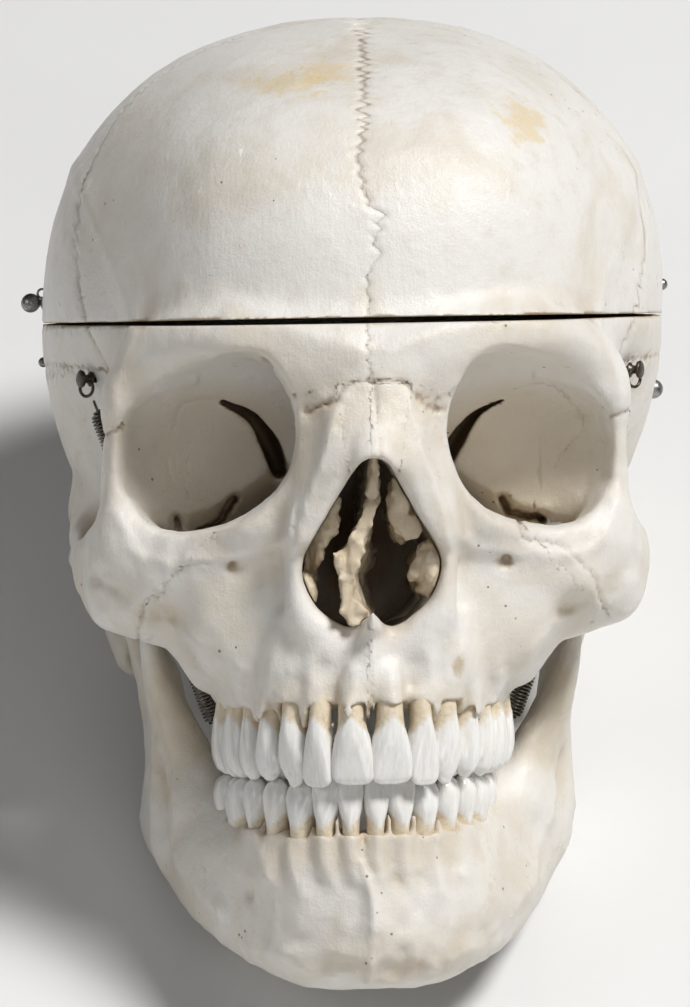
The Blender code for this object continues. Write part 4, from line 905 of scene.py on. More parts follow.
def tooth_surface(seat, side, number):
    """One tooth as rings of points and how much enamel each point has.

    A ring is a superellipse across and outward; its centre climbs from root tip to edge. Low ridges run up the
    outer face, the edge drops to its corners, and the crown swells a little past the enamel's lower line.
    """
    kind = seat.kind
    rows = smooth_path(TOOTH_SECTIONS[kind.shape], TOOTH_STEPS)
    closing = np.array([(rows[-1, 0] + lift, rows[-1, 1] * s, rows[-1, 2] * s, 2.4, rows[-1, 4])
                        for s, lift in CROWN_CLOSE])
    rows = np.vstack([rows, closing])
    height, wide, deep, square, shift = (rows[:, i:i + 1] for i in range(5))
    turn = np.linspace(0, 2 * math.pi, TOOTH_SIDES, endpoint=False)[None, :]
    wave = 0.7 * math.sin(7.3 * number + 2.1 * side)
    across = np.sign(np.cos(turn)) * np.abs(np.cos(turn)) ** (2 / square)
    outward = np.sign(np.sin(turn)) * np.abs(np.sin(turn)) ** (2 / square)
    crown = np.clip(height, 0, 1)
    ridges = 0.012 * np.cos(3 * math.pi * across + wave) * np.clip(outward, 0, 1) * crown
    neck_line = 0.10 * np.sin(turn) ** 2 - 0.16 * np.cos(turn) ** 2 + 0.02 * np.sin(5 * turn + number)
    enamel = np.clip((height + neck_line) / 0.05 + 0.5, 0, 1)
    swell = 0.035 * enamel * np.clip(1 - height, 0, 1)
    a = across * wide * (kind.width / 2 - 0.05) * (1 + swell)
    o = outward * (deep + ridges + swell) * kind.depth / 2 + shift * kind.depth
    side_share = across * wide
    out_share = outward * deep
    if kind.shape == "incisor":
        drop = 0.15 * side_share**2 + 0.4 * np.abs(side_share) ** 6 + 0.25 * side_share * EDGE_LEAN
    elif kind.shape == "canine":
        drop = 1.7 * np.abs(side_share - 0.08) ** 1.2
    elif kind.shape == "premolar":
        drop = 0.8 * np.abs(side_share) ** 1.5 + 1.2 * np.exp(-(out_share / 0.22) ** 2)
    else:
        drop = 0.8 * np.exp(-(side_share / 0.2) ** 2) + 1.0 * np.exp(-(out_share / 0.22) ** 2)
    drop = drop * np.clip((height - 0.45) / 0.55, 0, 1) ** 1.5
    lift = np.where(height > 0, height * kind.crown, height * kind.root) - drop
    rng = np.random.default_rng(100 + number + (50 if side < 0 else 0))
    tilt, twist, lean = rng.uniform(-1, 1, 3) * (0.035, 0.07, 0.03)
    a, o = a + lift * tilt, o + lift * lean
    a, o = a * math.cos(twist) - o * math.sin(twist), a * math.sin(twist) + o * math.cos(twist)
    along, out, up, spot = (np.array(v) for v in (seat.along, seat.out, seat.up, seat.spot))
    points = spot + a[..., None] * along + o[..., None] * out - lift[..., None] * up
    return points * (side, 1, 1), np.broadcast_to(enamel, a.shape)


def closed_grid(rows, sides, start=0, flip=False):
    """The faces of a grid that closes round itself, with a point before its first ring and one after its last."""
    ring = np.arange(rows * sides).reshape(rows, sides) + start
    after = np.roll(ring, -1, axis=1)
    quads = np.stack([ring[:-1], after[:-1], after[1:], ring[1:]], axis=-1).reshape(-1, 4)
    first, last = start + rows * sides, start + rows * sides + 1
    low = np.stack([np.full(sides, first), after[0], ring[0]], axis=-1)
    high = np.stack([np.full(sides, last), ring[-1], after[-1]], axis=-1)
    faces = [*quads.tolist(), *low.tolist(), *high.tolist()]
    return [face[::-1] for face in faces] if flip else faces


class Skins:
    """Closed surfaces gathered into one piece."""

    def __init__(self):
        self.points = []
        self.faces = []
        self.values = []
        self.count = 0

    def add(self, rings, values=None, flip=False):
        """Adds rings of points, closing each end on its middle point."""
        rows, sides = rings.shape[:2]
        values = np.zeros((rows, sides)) if values is None else values
        self.faces += closed_grid(rows, sides, self.count, flip)
        self.points += [rings.reshape(-1, 3), rings[:1].mean(axis=1), rings[-1:].mean(axis=1)]
        self.values += [values.ravel(), values[0, :1], values[-1, :1]]
        self.count += rows * sides + 2

    def made(self, name, slot, nodes, material, value_name=None):
        thing = piece(name, np.concatenate(self.points), self.faces, nodes, material)
        if value_name:
            painted(thing, value_name, np.concatenate(self.values))
        return thing


def tooth_row(name, teeth, arch, neck, side, slot, node, material, shift=0.0):
    """One side's teeth as one piece, moved aside by shift."""
    row = Skins()
    for number, seat in enumerate(seats(teeth, arch, neck)):
        rings, enamel = tooth_surface(seat, SIDES[side], number + (20 if neck < BITE_LEVEL else 0))
        row.add(rings + (shift, 0, 0), enamel, flip=(SIDES[side] > 0) == (neck > BITE_LEVEL))
    row.made(name, slot, [node], material, "enamel")


def unit(v):
    """Each vector at length 1."""
    return v / np.maximum(np.linalg.norm(v, axis=-1, keepdims=True), 1e-9)


def tube(path, radius, side, sides=10):
    """A round wire: rings of points at each place of the path, turned to its tangent, with side as a rough normal."""
    path = np.asarray(path, float)
    tangent = unit(np.gradient(path, axis=0))
    across = unit(np.broadcast_to(side, path.shape) - (tangent * side).sum(axis=1, keepdims=True) * tangent)
    other = np.cross(tangent, across)
    turn = np.linspace(0, 2 * math.pi, sides, endpoint=False)
    radius = np.broadcast_to(radius, (len(path),))[:, None, None]
    circle = np.cos(turn)[None, :, None] * across[:, None, :] + np.sin(turn)[None, :, None] * other[:, None, :]
    return path[:, None, :] + radius * circle


def lathe(foot, out, profile, sides=28):
    """A turned part: rings of the profile's radii round the axis out, at the profile's distances from foot."""
    foot, out = np.array(foot, float), unit(np.array(out, float))
    profile = np.array(profile, float)
    across = unit(np.cross(out, (0.1, 0.9, 0.4)))
    other = np.cross(out, across)
    turn = np.linspace(0, 2 * math.pi, sides, endpoint=False)
    circle = np.cos(turn)[:, None] * across + np.sin(turn)[:, None] * other
    return foot + profile[:, 0, None, None] * out + profile[:, 1, None, None] * circle


def ball_profile(middle, radius, start=-0.9, steps=14):
    """A ball's profile from near its foot to its top."""
    turn = np.linspace(math.asin(start), math.pi / 2 - 0.08, steps)
    return [(middle + radius * math.sin(t), radius * math.cos(t)) for t in turn]


def ring_path(centre, radius, axis, start, sweep, steps=40):
    """Part of a circle about axis, from the angle start over the angle sweep."""
    axis = unit(np.array(axis, float))
    across = unit(np.cross(axis, (0.3, 0.2, 1)))
    other = np.cross(axis, across)
    turn = start + np.linspace(0, sweep, steps)[:, None]
    return np.array(centre, float) + radius * (np.cos(turn) * across + np.sin(turn) * other)


# The left spring: its ends in place, and its wire in millimetres
SPRING_TOP = np.array((55.2, -44.5, 27.5))
SPRING_FOOT = np.array((30.2, -42.5, -41.0))
COIL_RADIUS = 1.65
WIRE_RADIUS = 0.28
COIL_PITCH = 0.74
COIL_STEPS = 18
END_RUN = 1.8


def spring_piece(side, material):
    """A stretched spring: a helix about the line from the temple to the jaw, narrowing to straight ends that hook."""
    turn = np.array((SIDES[side], 1, 1))
    top, foot = SPRING_TOP * turn, SPRING_FOOT * turn + (JAW_SHIFT, 0, 0)
    length = np.linalg.norm(top - foot)
    along = (foot - top) / length
    across = unit(np.cross(along, (0, 1, 0)))
    other = np.cross(along, across)
    turns = (length - 2 * END_RUN) / COIL_PITCH
    steps = int(turns * COIL_STEPS)
    t = np.linspace(0, 1, steps)
    ends = np.clip(np.minimum(t, 1 - t) * length / END_RUN, 0, 1)
    radius = COIL_RADIUS * (0.25 + 0.75 * np.sin(ends * math.pi / 2))
    angle = 2 * math.pi * turns * t
    out = np.cos(angle)[:, None] * across + np.sin(angle)[:, None] * other
    coil = top + along * (END_RUN + t * (length - 2 * END_RUN))[:, None] + radius[:, None] * out
    wire = Skins()
    wire.add(tube(coil, WIRE_RADIUS, out, 7))
    for end, way in ((top, along), (foot, -along)):
        hook = ring_path(end + way * 1.2, 1.5, across, 0.0, 5.4, 30)
        wire.add(tube(hook, WIRE_RADIUS, across, 8))
        neck = np.linspace(end + way * 1.6, end + way * (END_RUN + 0.3), 6)
        wire.add(tube(neck, WIRE_RADIUS, across, 8))
    wire.made(f"spring_{side}", "spring_steel", [f"jaw_spring_{side}"], material)


HOOK_WIRE = 0.26
SCREW_PROFILE = np.array(((-3.0, 0.8), (0.0, 0.85), (0.3, 1.5), (0.6, 1.6), (0.9, 1.0), (1.6, 0.85), (2.2, 0.95),
                          (2.3, 1.75), (2.8, 1.9), (3.1, 1.5), (3.15, 0.4)))


def ball_pin(node, name, foot, out, shank, stands, head, material, hook=False):
    """A pin with a collar and a ball head, and a small wire hook wound round its neck."""
    body = Skins()
    middle = stands + head
    profile = [(-3.0, shank * 0.9), (-0.3, shank), (0.0, shank * 1.5), (0.35, shank * 1.5), (0.5, shank),
               (stands, shank)]
    body.add(lathe(foot, out, profile + ball_profile(middle, head)))
    if hook:
        axis = unit(np.array(out, float))
        neck = np.array(foot) + axis * (stands * 0.5)
        loop = ring_path(neck, shank + 0.35, axis, 0.6, 9.0, 50) + axis * np.linspace(-0.3, 0.4, 50)[:, None]
        body.add(tube(loop, HOOK_WIRE, axis, 8))
        up = ring_path(neck + axis * 0.4 + (0, -0.6, 2.0), 0.95, (0, 1, 0), 0.2, 4.9, 30)
        body.add(tube(up, HOOK_WIRE, (0, 1, 0), 8))
    body.made(name, "pin_steel", [node], material)


def screw_eye(node, name, foot, out, material, share=1.0):
    """A screw with a flat disc head on its outer side and an eye of wire that the spring hooks into."""
    body = Skins()
    out = unit(np.array(out, float))
    foot = np.array(foot, float)
    body.add(lathe(foot, out, SCREW_PROFILE * share))
    down = np.array((0, 0, -1.0))
    centre = foot + (out * 1.4 + down * 1.9) * share
    body.add(tube(ring_path(centre, 1.7 * share, out + (0, -0.7, 0), 0, 6.1, 44), 0.34 * share,
                  unit(out + (0, -0.7, 0)), 9))
    body.made(name, "pin_steel", [node], material)


# Materials


class Nodes:
    """Makes the nodes of one material, with links given as they are made."""

    def __init__(self, name):
        self.material = bpy.data.materials.new(name)
        self.material.use_nodes = True
        self.tree = self.material.node_tree
        self.shader = self.tree.nodes["Principled BSDF"]
        space = self.add("ShaderNodeTexCoord").outputs["Object"]
        self.place = self.add("ShaderNodeMapping", Vector=space)
        self.place.vector_type = "TEXTURE"
        self.place.inputs["Location"].default_value = REST_SPOT * MM
        self.place.inputs["Rotation"].default_value = REST_TURN
        self.place.inputs["Scale"].default_value = (MM, MM, MM)
        self.place = self.place.outputs[0]

    def add(self, kind, **inputs):
        node = self.tree.nodes.new(kind)
        for key, value in inputs.items():
            self.feed(node.inputs[key.replace("_", " ")], value)
        return node

    def feed(self, socket, value):
        if isinstance(value, bpy.types.NodeSocket):
            self.tree.links.new(value, socket)
        else:
            socket.default_value = value

    def math(self, operation, *values, clamp=False):
        node = self.tree.nodes.new("ShaderNodeMath")
        node.operation = operation
        node.use_clamp = clamp
        for socket, value in zip(node.inputs, values):
            self.feed(socket, value)
        return node.outputs[0]

    def noise(self, scale, detail=4.0, roughness=0.5, distortion=0.0, at=None):
        node = self.add("ShaderNodeTexNoise", Vector=at or self.place, Scale=scale, Detail=detail,
                        Roughness=roughness, Distortion=distortion)
        return node.outputs[0]

    def stretched(self, scale):
        """The place with each direction scaled on its own."""
        return self.add("ShaderNodeMapping", Vector=self.place, Scale=scale).outputs[0]

    def span(self, value, low, high, to_low=0.0, to_high=1.0):
        """A smooth step of value from low to high."""
        node = self.add("ShaderNodeMapRange", Value=value)
        node.interpolation_type = "SMOOTHSTEP"
        for socket, number in zip(list(node.inputs)[1:5], (low, high, to_low, to_high)):
            socket.default_value = number
        return node.outputs[0]

    def mix(self, share, first, second):
        node = self.tree.nodes.new("ShaderNodeMix")
        node.data_type = "RGBA"
        self.feed(node.inputs[0], share)
        for socket, value in zip((node.inputs[6], node.inputs[7]), (first, second)):
            self.feed(socket, value if isinstance(value, bpy.types.NodeSocket) else (*value, 1))
        return node.outputs[2]

    def attribute(self, name):
        node = self.tree.nodes.new("ShaderNodeAttribute")
        node.attribute_name = name
        return node.outputs["Fac"]

    def bump(self, height, strength, distance):
        node = self.add("ShaderNodeBump", Height=height, Strength=strength, Distance=distance)
        self.tree.links.new(node.outputs[0], self.shader.inputs["Normal"])

    def finish(self, **values):
        for key, value in values.items():
            self.feed(self.shader.inputs[key.replace("_", " ")], value)
        return self.material


def patch(kit, centre, radii, ragged, noise):
    """1 well inside an ellipsoid and 0 outside it, its edge shaken by noise."""
    spot = kit.add("ShaderNodeMapping", Vector=kit.place)
    spot.vector_type = "TEXTURE"
    spot.inputs["Location"].default_value = centre
    spot.inputs["Scale"].default_value = radii
    length = kit.tree.nodes.new("ShaderNodeVectorMath")
    length.operation = "LENGTH"
    kit.tree.links.new(spot.outputs[0], length.inputs[0])
    shaken = kit.math("MULTIPLY_ADD", noise, ragged, length.outputs["Value"])
    return kit.span(shaken, 1.0 + 0.5 * ragged, 0.45 + 0.5 * ragged)


CHALK = (0.80, 0.775, 0.73)
IVORY = (0.71, 0.655, 0.565)
CREAM = (0.66, 0.57, 0.43)
TAN = (0.50, 0.39, 0.25)
UMBER = (0.13, 0.075, 0.035)
STAIN = (0.72, 0.55, 0.27)
NOSE_SHADE_BROWN = (0.26, 0.14, 0.055)
SEAM_AND_CLEFT_SHADE_BROWN = (0.20, 0.12, 0.06)

# Patches of colour as (centre, radii, colour, how strong, how ragged)
CAP_PATCHES = (
    ((-16, -66, 91), (9, 14, 5), STAIN, 0.5, 3.2), ((-8, -62, 93), (7, 12, 4), STAIN, 0.5, 3.2),
    # The ivory patch at (-52, -30, 72) and the tan patch below it are painted shade on the skull's right side and
    # temple, away from the key light; the stain patches are real stains
    ((31.5, -69, 83), (6, 12, 7), STAIN, 0.6, 3.0), ((-52, -30, 72), (22, 60, 34), IVORY, 0.5, 0.8),
    ((-66, -36, 62), (6, 10, 5), TAN, 0.35, 1.4),
)
FACE_PATCHES = (
    # The cream patches in both orbits are painted shade of the deep orbit hollows
    ((31, -60, 16), (22, 20, 22), CREAM, 0.62, 0.2), ((-31, -60, 16), (22, 20, 22), CREAM, 0.62, 0.2),
    # The dark brown patch at (0, -48, -3) is mostly painted shade of the deep nose cavity, over the bone's own browner
    # tone; the cream patch after it is the bone's own tint
    ((0, -48, -3), (16, 46, 23), NOSE_SHADE_BROWN, 0.97, 0.1), ((0, -95, 25), (18, 10, 9), CREAM, 0.45, 1.2),
    # The ivory patches at (±44, -66, -12), on this line and the next, are painted shade under the cheekbones, stronger
    # on the skull's right
    ((0, -82, -34), (31, 32, 7), CREAM, 0.5, 1.2), ((44, -66, -12), (12, 12, 12), IVORY, 0.6, 1.2),
    ((-44, -66, -12), (12, 12, 12), IVORY, 0.8, 1.2), ((17.6, -90, -26.4), (2.0, 6, 3.4), TAN, 0.8, 1.4),
    # The ivory patch at (-52, -64, 30) is painted shade on the skull's right side, away from the key light
    ((-52, -64, 30), (12, 20, 22), IVORY, 0.6, 0.8), ((22, -38, 18), (10, 13, 15), UMBER, 0.9, 0.1),
    # The umber patches on this line and the end of the line above are painted shadow deep in the orbits, behind their
    # clefts
    ((-22, -38, 18), (10, 13, 15), UMBER, 0.9, 0.1),
)
JAW_PATCHES = (
    # The cream patches at (±38, -44, -34), on this line and the next, are painted shade in the recess of the jaw's
    # branch under the cheek, stronger on the skull's right
    ((0, -78, -62), (32, 36, 8), CREAM, 0.5, 1.2), ((38, -44, -34), (10, 14, 22), CREAM, 0.7, 0.8),
    ((-38, -44, -34), (10, 14, 22), CREAM, 0.8, 0.8), ((6, -88, -86), (16, 10, 9), CREAM, 0.35, 1.5),
    # Painted shade on the jaw's right side, away from the key light
    ((-36, -44, -76), (12, 22, 10), IVORY, 0.7, 1.0),
)


def bone_material(name, ivory_from=0.42, patches=(), brown=0.0):
    """Degreased bone: chalk white with ivory clouds, a painted tan shade in its hollows, brown in its seams, a painted
    dark shade in the clefts over the orbits' floors, and patches of its own tints and of painted shade, with grain and
    pores.
    """
    kit = Nodes(name)
    clouds = kit.noise(0.045, 5, 0.55, 0.4)
    blotch = kit.noise(0.22, 6, 0.62)
    grain = kit.noise(2.4, 5, 0.7)
    streak = kit.noise(0.9, 4, 0.6, 0.3, kit.stretched((1.0, 1.0, 0.16)))
    near, far, seam = (kit.attribute(title) for title in ("near_air", "far_air", "seam"))
    tone = kit.mix(kit.span(clouds, ivory_from, 0.70), CHALK, IVORY)
    tone = kit.mix(kit.math("MULTIPLY", kit.span(blotch, 0.48, 0.74), 0.45), tone, IVORY)
    for centre, radii, colour, strength, ragged in patches:
        share = kit.math("MULTIPLY", patch(kit, centre, radii, ragged, blotch), strength)
        tone = kit.mix(kit.math("MULTIPLY", share, kit.span(grain, 0.2, 0.6, 0.6, 1)) if ragged > 1 else share, tone,
                       colour)
    # Painted shade: tan where the air before the surface is closed in, in hollows, creases and recesses, near and
    # further off
    tone = kit.mix(kit.math("MULTIPLY", kit.span(far, 0.97, 0.35), 0.5), tone, TAN)
    tone = kit.mix(kit.math("MULTIPLY", kit.span(near, 0.8, 0.1), 0.5), tone, TAN)
    # Seam brown: the real dark of the seams, and painted shadow in the clefts over the orbits' floors
    tone = kit.mix(kit.math("MULTIPLY", kit.span(seam, 0.2, 0.75), kit.span(blotch, 0.35, 0.6, 0.5, 1.0)), tone,
                   SEAM_AND_CLEFT_SHADE_BROWN)
    holes = kit.add("ShaderNodeTexVoronoi", Vector=kit.place, Scale=0.27)
    rare = kit.span(kit.noise(0.05, 2), 0.50, 0.66, 0.0, 0.085)
    pores = kit.span(kit.math("SUBTRACT", kit.math("MULTIPLY_ADD", grain, 0.06, holes.outputs["Distance"]), rare),
                     0.045, 0.02)
    tone = kit.mix(kit.math("MULTIPLY", pores, 0.75), tone, UMBER)
    if brown:
        tone = kit.mix(kit.math("MULTIPLY", kit.span(blotch, 0.35, 0.65, 0.35, 1), brown), tone, TAN)
    height = kit.math("MULTIPLY_ADD", blotch, 1.3, kit.math("MULTIPLY", grain, 0.4))
    height = kit.math("MULTIPLY_ADD", streak, 0.4, height)
    height = kit.math("MULTIPLY_ADD", pores, -0.8, height)
    kit.bump(height, 0.45, 0.0006)
    gloss = kit.span(kit.math("MULTIPLY_ADD", grain, 0.3, blotch), 0.5, 0.85, 0.44, 0.27)
    return kit.finish(Base_Color=tone, Roughness=gloss, Specular_IOR_Level=0.5, Subsurface_Weight=0.05,
                      Subsurface_Radius=(0.004, 0.0025, 0.0015), Subsurface_Scale=0.5)


def tooth_material(name):
    """White enamel over beige root bone: faint upright streaks and a glossy coat."""
    kit = Nodes(name)
    enamel = kit.attribute("enamel")
    streak = kit.noise(1.3, 4, 0.6, 0.2, kit.stretched((1.0, 1.0, 0.12)))
    cloud = kit.noise(0.35, 4, 0.6)
    white = kit.mix(kit.span(streak, 0.35, 0.75), (0.84, 0.835, 0.815), (0.74, 0.72, 0.67))
    white = kit.mix(kit.math("MULTIPLY", kit.span(cloud, 0.5, 0.8), 0.4), white, (0.78, 0.72, 0.60))
    root = kit.mix(kit.span(kit.noise(0.9, 6, 0.7), 0.35, 0.75), (0.74, 0.65, 0.50), (0.60, 0.48, 0.32))
    tone = kit.mix(enamel, root, white)
    kit.bump(kit.math("ADD", kit.math("MULTIPLY", streak, 0.4), kit.noise(0.9, 3)), 0.08, 0.0005)
    return kit.finish(Base_Color=tone, Roughness=kit.span(enamel, 0.0, 1.0, 0.40, 0.12), Specular_IOR_Level=0.55,
                      Subsurface_Weight=0.08, Subsurface_Radius=(0.003, 0.0025, 0.002), Subsurface_Scale=0.5)


def metal_material(name, tint, dull):
    """Old steel: grey with darker tarnish in clouds and fine scratches."""
    kit = Nodes(name)
    tarnish = kit.noise(0.7, 6, 0.65)
    tone = kit.mix(kit.span(tarnish, 0.35, 0.7), tint, tuple(0.35 * c for c in tint))
    rough = kit.span(kit.noise(2.2, 4, 0.6), 0.3, 0.7, dull - 0.1, dull + 0.15)
    kit.bump(kit.noise(3.0, 4, 0.6, 0.0, kit.stretched((1, 1, 0.2))), 0.15, 0.0002)
    return kit.finish(Base_Color=tone, Roughness=rough, Metallic=1.0)


def floor_material():
    """Plain pale paper with faint clouds."""
    kit = Nodes("floor_paper")
    tone = kit.mix(kit.noise(0.02, 3), (0.80, 0.80, 0.79), (0.76, 0.76, 0.755))
    return kit.finish(Base_Color=tone, Roughness=0.8)


CAP_BONE = bone_material("cap_bone", 0.46, CAP_PATCHES)
FACE_BONE = bone_material("face_bone", 0.44, FACE_PATCHES)
BASE_BONE = bone_material("base_bone", 0.38, (), 0.15)
JAW_BONE = bone_material("jaw_bone", 0.44, JAW_PATCHES)
NOSE_BONE = bone_material("nose_bone", 0.2, (((0, -70, 0), (60, 70, 60), CREAM, 0.9, 0.2),), 0.6)
TEETH = tooth_material("enamel_and_root")
PIN_STEEL = metal_material("pin_steel", (0.42, 0.41, 0.39), 0.38)
BRONZE = metal_material("hook_bronze", (0.13, 0.11, 0.09), 0.40)
SPRING_STEEL = metal_material("spring_steel", (0.24, 0.21, 0.18), 0.30)


def both_sides(bones, keep):
    """The jobs of taking each bone's two sides from the clay, as a piece where keep says so."""
    return [(bone, side, keep) for bone in bones for side in SIDES]


def sawn(clay, opening):
    """How far each point of the clay's grid lies above the saw cut."""
    return saw_cut(*np.ix_(*clay.axes)[1:], opening)


# The cap above the saw cut
clay, middle = sculpted((-100, 36), (88, 114), CAP_CELL)
rest = np.maximum(clay.depth, -sawn(clay, SAW_OPEN))
parted(clay, rest, middle, both_sides(("cap_frontal", "cap_parietal"), True), CAP_BONE)

# The face and the middle of the base
clay, middle = sculpted((-112, -48), (-2, 47), FACE_CELL)
jobs = both_sides(("nasal", "zygomatic", "maxilla", "frontal"), True) + both_sides(("parietal", "temporal"), False)
jobs.append(("occipital", None, False))
left_over = parted(clay, np.maximum(clay.depth, sawn(clay, 0)), middle, jobs, FACE_BONE)
bone_piece("sphenoid_bone", left_over, clay, ["sphenoid"], FACE_BONE, fineness=0.06)

# The thin bones in the nose
PARTITION = ((-18.4, -2.6, 2.0), (-16, -3.0, 2.8), (-13, -4.4, 1.5), (-9, -5.0, 1.2), (-5.6, -5.4, 2.4),
             (-4, -5.0, 2.8), (-2.4, -3.6, 1.6), (1, -1.6, 1.3), (6, 0.1, 1.1), (12, 0.5, 0.8), (18, 0.7, 0.5))
SHELVES = {
    "concha_right": ([(-13.3, -88, -12, 2.2, 3.4), (-12.6, -70, -10, 2.4, 4.6), (-12.0, -54, -8, 2.2, 4.0)],
                     [(-7.4, -90, 6, 1.2, 5.0), (-10.4, -86, -2, 1.2, 4.2), (-11.8, -74, -6, 1.4, 4.0)]),
    "concha_left": ([(11.9, -89, -7.6, 2.2, 5.4), (11.6, -70, -8, 2.6, 5.0), (12.0, -54, -8, 2.2, 4.0)],
                    [(8.6, -88, -8.6, 1.6, 1.3), (11.4, -88, -5.4, 1.6, 1.6)]),
    "middle_concha_left": ([(5.6, -91, 6.4, 2.2, 6.0), (6.6, -76, 4, 2.4, 6.4), (6.4, -58, 4, 2.0, 4.4)],
                           [(8.4, -90, 1.2, 1.4, 3.0), (7.0, -90, -1.0, 1.0, 1.6)]),
}


def partition_plate(rows, front, back):
    """The nose's leaning partition: a plate through rows of (z, x, half thickness), upright at the back."""
    heights, places, halves = np.array(rows).T

    def distance(x, y, z):
        deep = np.clip((y - front) / (back - front), 0, 1)
        middle = np.interp(z, heights, places) * (1 - deep)
        thick = np.interp(z, heights, halves)
        ends = np.maximum(np.maximum(front - y, y - back), np.maximum(heights[0] - z, z - heights[-1]))
        return np.maximum(np.abs(x - middle) - thick, ends)

    return Shape((-12, front, heights[0]), (12, back, heights[-1]), distance)


nose = Clay((-102, -26), (-42, 24), NOSE_CELL, 20).whole()
nose.marks = np.zeros_like(nose.depth)
inside_shapes = {"nasal_septum": (partition_plate(PARTITION, -94, -46),)}
inside_shapes.update({name: [strand(rows) for rows in paths] for name, paths in SHELVES.items()})
grids = np.meshgrid(*nose.axes, indexing="ij")
walls = sampled(clay, clay.depth, np.stack([g.ravel() for g in grids], axis=1)).reshape(nose.depth.shape)
rough = 0.9 * unevenness(nose.axes, 3.1, 7) + 0.5 * unevenness(nose.axes, 1.3, 8)
for name, shapes in inside_shapes.items():
    part = nose.empty_copy()
    for shape in shapes:
        part.add(shape, 1.0)
    part.depth = np.maximum(part.depth + rough, 0.25 - walls)
    bone_piece(f"{name}_plate", part.depth, part, [name], NOSE_BONE)
    walls = np.minimum(walls, part.depth)

# The back of the base
clay, middle = sculpted((-56, -48), (88, 51), BACK_CELL)
above_floor(clay)
jobs = both_sides(("zygomatic", "maxilla", "frontal"), False) + both_sides(("parietal", "temporal"), True)
jobs.append(("occipital", None, True))
parted(clay, np.maximum(clay.depth, sawn(clay, 0)), middle, jobs, BASE_BONE)

# The jaw's low ridges: in front as (x, z), with reach, width, height, wobble and pitch, and at each side as (y, z)
JAW_FRONT_RIDGES = (
    (((-0.6, -66), (-0.2, -76), (-0.6, -90)), (-100, -78), 0.9, 0.5, 0.2, 4.0),
    (((-20, -84), (-9, -89.5), (8, -90), (20, -84)), (-100, -70), 2.2, 0.7, 0.5, 8.0),
)
JAW_SIDE_RIDGES = (
    (((-38, -44), (-45, -60), (-56, -71), (-66, -76)), 2.2, 0.7, 0.3, 7.0),
    (((-22, -48), (-16, -58), (-12, -66)), 1.6, 0.6, 0.6, 3.0),
)
# The ridges that the lower front roots raise, in (x, z), for the left side
JAW_ROOT_LINES = (((2.8, -61), (2.6, -69)), ((8.6, -61), (7.8, -70)), ((15.4, -61), (14.0, -72)),
                  ((21.2, -61), (20.0, -69)))


def jaw_relief(clay):
    """The jaw's low ridges and its rough chin."""
    for path, reach, width, height, wobble, pitch in JAW_FRONT_RIDGES:
        engrave(clay, 1, path, reach, width, -height, wobble, pitch, 0.0)
    for reach in ((-52, -20), (20, 52)):
        for path, width, height, wobble, pitch in JAW_SIDE_RIDGES:
            engrave(clay, 0, path, reach, width, -height, wobble, pitch, 0.0)
    for side in SIDES.values():
        for line in JAW_ROOT_LINES:
            engrave(clay, 1, [(side * x, z) for x, z in line], (-100, -66), 1.6, -0.6, 0.2, 5.0, 0.0)
    x, z = np.ix_(*clay.axes)[::2]
    chin = np.exp(-((z + 82) / 13) ** 2) * np.exp(-((x - 4) / 22) ** 2)
    clay.depth += ((0.42 * chin + 0.12) * unevenness(clay.axes, 2.9, 12)).astype(np.float32)


def jaw_aside(_, y, z):
    """How far the jaw stands aside: to the left at the chin and ramus, and to the right with its teeth."""
    share = np.clip((z + 75) / 12, 0, 1) * np.clip((-41 - y) / 10, 0, 1)
    return JAW_SHIFT + (LOWER_SHIFT - JAW_SHIFT) * share * share * (3 - 2 * share)


# The lower jaw
clay = Clay((-98, -98), (4, 0), JAW_CELL, 62)
lower_jaw(clay)
root_swellings(clay, LOWER_TEETH[:5], LOWER_ARCH, LOWER_NECK)
clay = roughened(clay.whole(), 1.2)
socket_scoops(clay, LOWER_TEETH, LOWER_ARCH, LOWER_NECK, LOWER_SCOOPS)
jaw_relief(clay)
above_floor(clay, JAW_SHIFT)
bone_piece("lower_jaw_bone", clay.depth, clay, ["mandible"], JAW_BONE, aside=jaw_aside)

for side in SIDES:
    tooth_row(f"upper_teeth_{side}", UPPER_TEETH, UPPER_ARCH, UPPER_NECK, side, "upper_jaw_bone", f"maxilla_{side}",
              TEETH)
    tooth_row(f"lower_teeth_{side}", LOWER_TEETH, LOWER_ARCH, LOWER_NECK, side, "jaw_bone", "mandible", TEETH,
              LOWER_SHIFT)
    spring_piece(side, SPRING_STEEL)
    turn = SIDES[side]
    screw_eye(f"temple_hook_{side}", f"temple_eye_{side}", (55.6 * turn, -42, 32.5), (0.9 * turn, -0.44, 0), BRONZE)
    screw_eye(f"jaw_hook_{side}", f"jaw_eye_{side}", (29.8 * turn + JAW_SHIFT, -42, -47.5), (-0.1 * turn, -0.06, 1),
              BRONZE, 0.6)
ball_pin("cap_pin_right", "cap_ball_right", (-65.6, 15, 50.5), (-1, 0, 0), 0.8, 1.5, 2.1, PIN_STEEL, True)
ball_pin("cap_pin_left", "cap_ball_left", (65.6, 15, 52.3), (1, 0, 0), 0.7, 1.4, 1.3, PIN_STEEL, True)
ball_pin("base_pin_right", "base_ball_right", (-65.0, 15, 37.6), (-1, 0, 0), 0.7, 0.3, 1.1, PIN_STEEL)
ball_pin("base_screw_left", "base_ball_left", (64.0, 15, 29.5), (1, 0, 0), 0.9, 0.5, 2.1, PIN_STEEL)


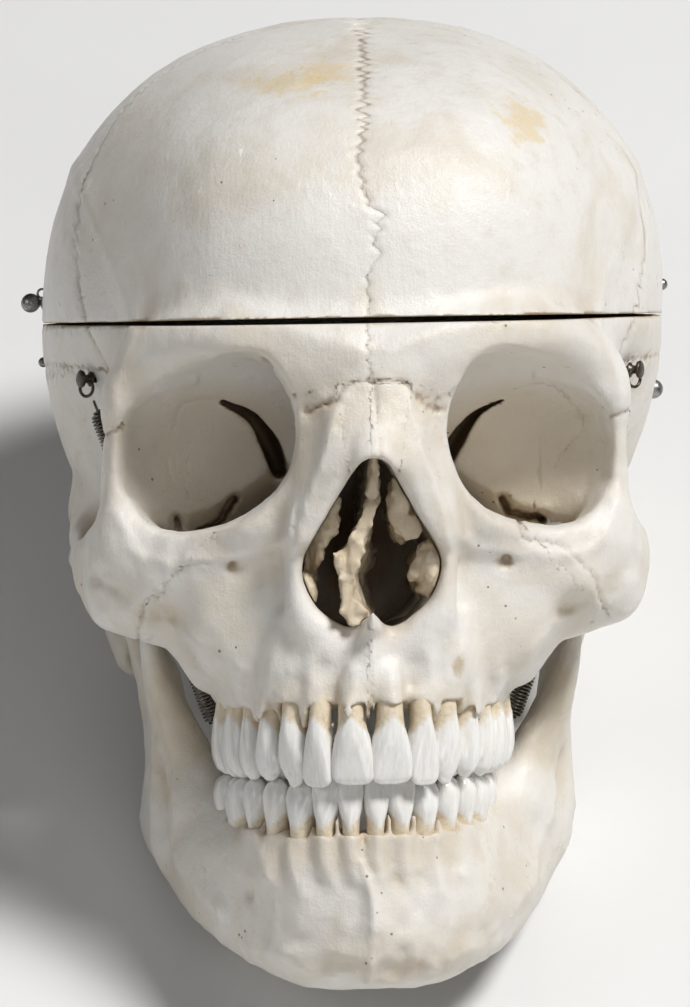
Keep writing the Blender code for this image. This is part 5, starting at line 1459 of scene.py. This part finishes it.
def staged(name, size, rise):
    """A level square that belongs to the stage, not to the skull."""
    mesh = bpy.data.meshes.new(name)
    half = size / 2
    mesh.from_pydata([(-half, -half, rise), (half, -half, rise), (half, half, rise), (-half, half, rise)], [],
                     [(0, 1, 2, 3)])
    made = bpy.data.objects.new(name, mesh)
    bpy.context.scene.collection.objects.link(made)
    return made


# The floor, the light and the camera, which looks down on the skull square to its face
floor = staged("floor", 6.0, -0.0002)
floor.data.materials.append(floor_material())

UPRIGHT = REST_TURN.to_matrix()
SKULL_MIDDLE = REST @ Vector((0, -20, 10))


def lamp(name, place, size, power, warmth=1.0):
    """A square soft light at a place given from the skull's middle, in the skull's own directions, in metres."""
    data = bpy.data.lights.new(name, "AREA")
    data.size = size
    data.energy = power
    data.color = (1.0, 0.5 + 0.5 * warmth, warmth)
    made = bpy.data.objects.new(name, data)
    made.location = SKULL_MIDDLE + UPRIGHT @ Vector(place)
    made.rotation_euler = (-(UPRIGHT @ Vector(place))).to_track_quat("-Z", "Y").to_euler()
    bpy.context.scene.collection.objects.link(made)


lamp("key", (1.24, -1.7, 2.0), 0.75, 86, 0.985)
lamp("fill", (-2.0, -1.7, 0.6), 1.4, 10)
lamp("low", (0.5, -2.5, -0.4), 1.2, 9)

world = bpy.data.worlds.new("studio")
bpy.context.scene.world = world
bpy.context.scene.view_settings.view_transform = "Standard"
world.use_nodes = True
sky = world.node_tree.nodes["Background"].inputs
sky["Color"].default_value = (0.9, 0.93, 1.0, 1)
sky["Strength"].default_value = 0.05

AIM = Vector((-1.4, 0, 5.7))
ASIDE = math.radians(-2.5)
AWAY = 1.2
LENS = 199.5
SENSOR = 36
back = UPRIGHT @ Vector((math.sin(ASIDE), -math.cos(ASIDE), 0))
camera = bpy.data.objects.new("camera", bpy.data.cameras.new("camera"))
camera.data.lens = LENS
camera.data.sensor_width = SENSOR
camera.data.clip_end = 20
up = UPRIGHT @ Vector((0, 0, 1))
right = up.cross(back).normalized()
camera.matrix_world = Matrix.Translation(REST @ AIM + back * AWAY) @ Matrix((right, up, back)).transposed().to_4x4()
bpy.context.scene.collection.objects.link(camera)
bpy.context.scene.camera = camera

for thing in bpy.data.objects:
    if thing.name in frame["nodes"] and not thing.hide_render:
        raise RuntimeError(f"{thing.name} is still shown plain")
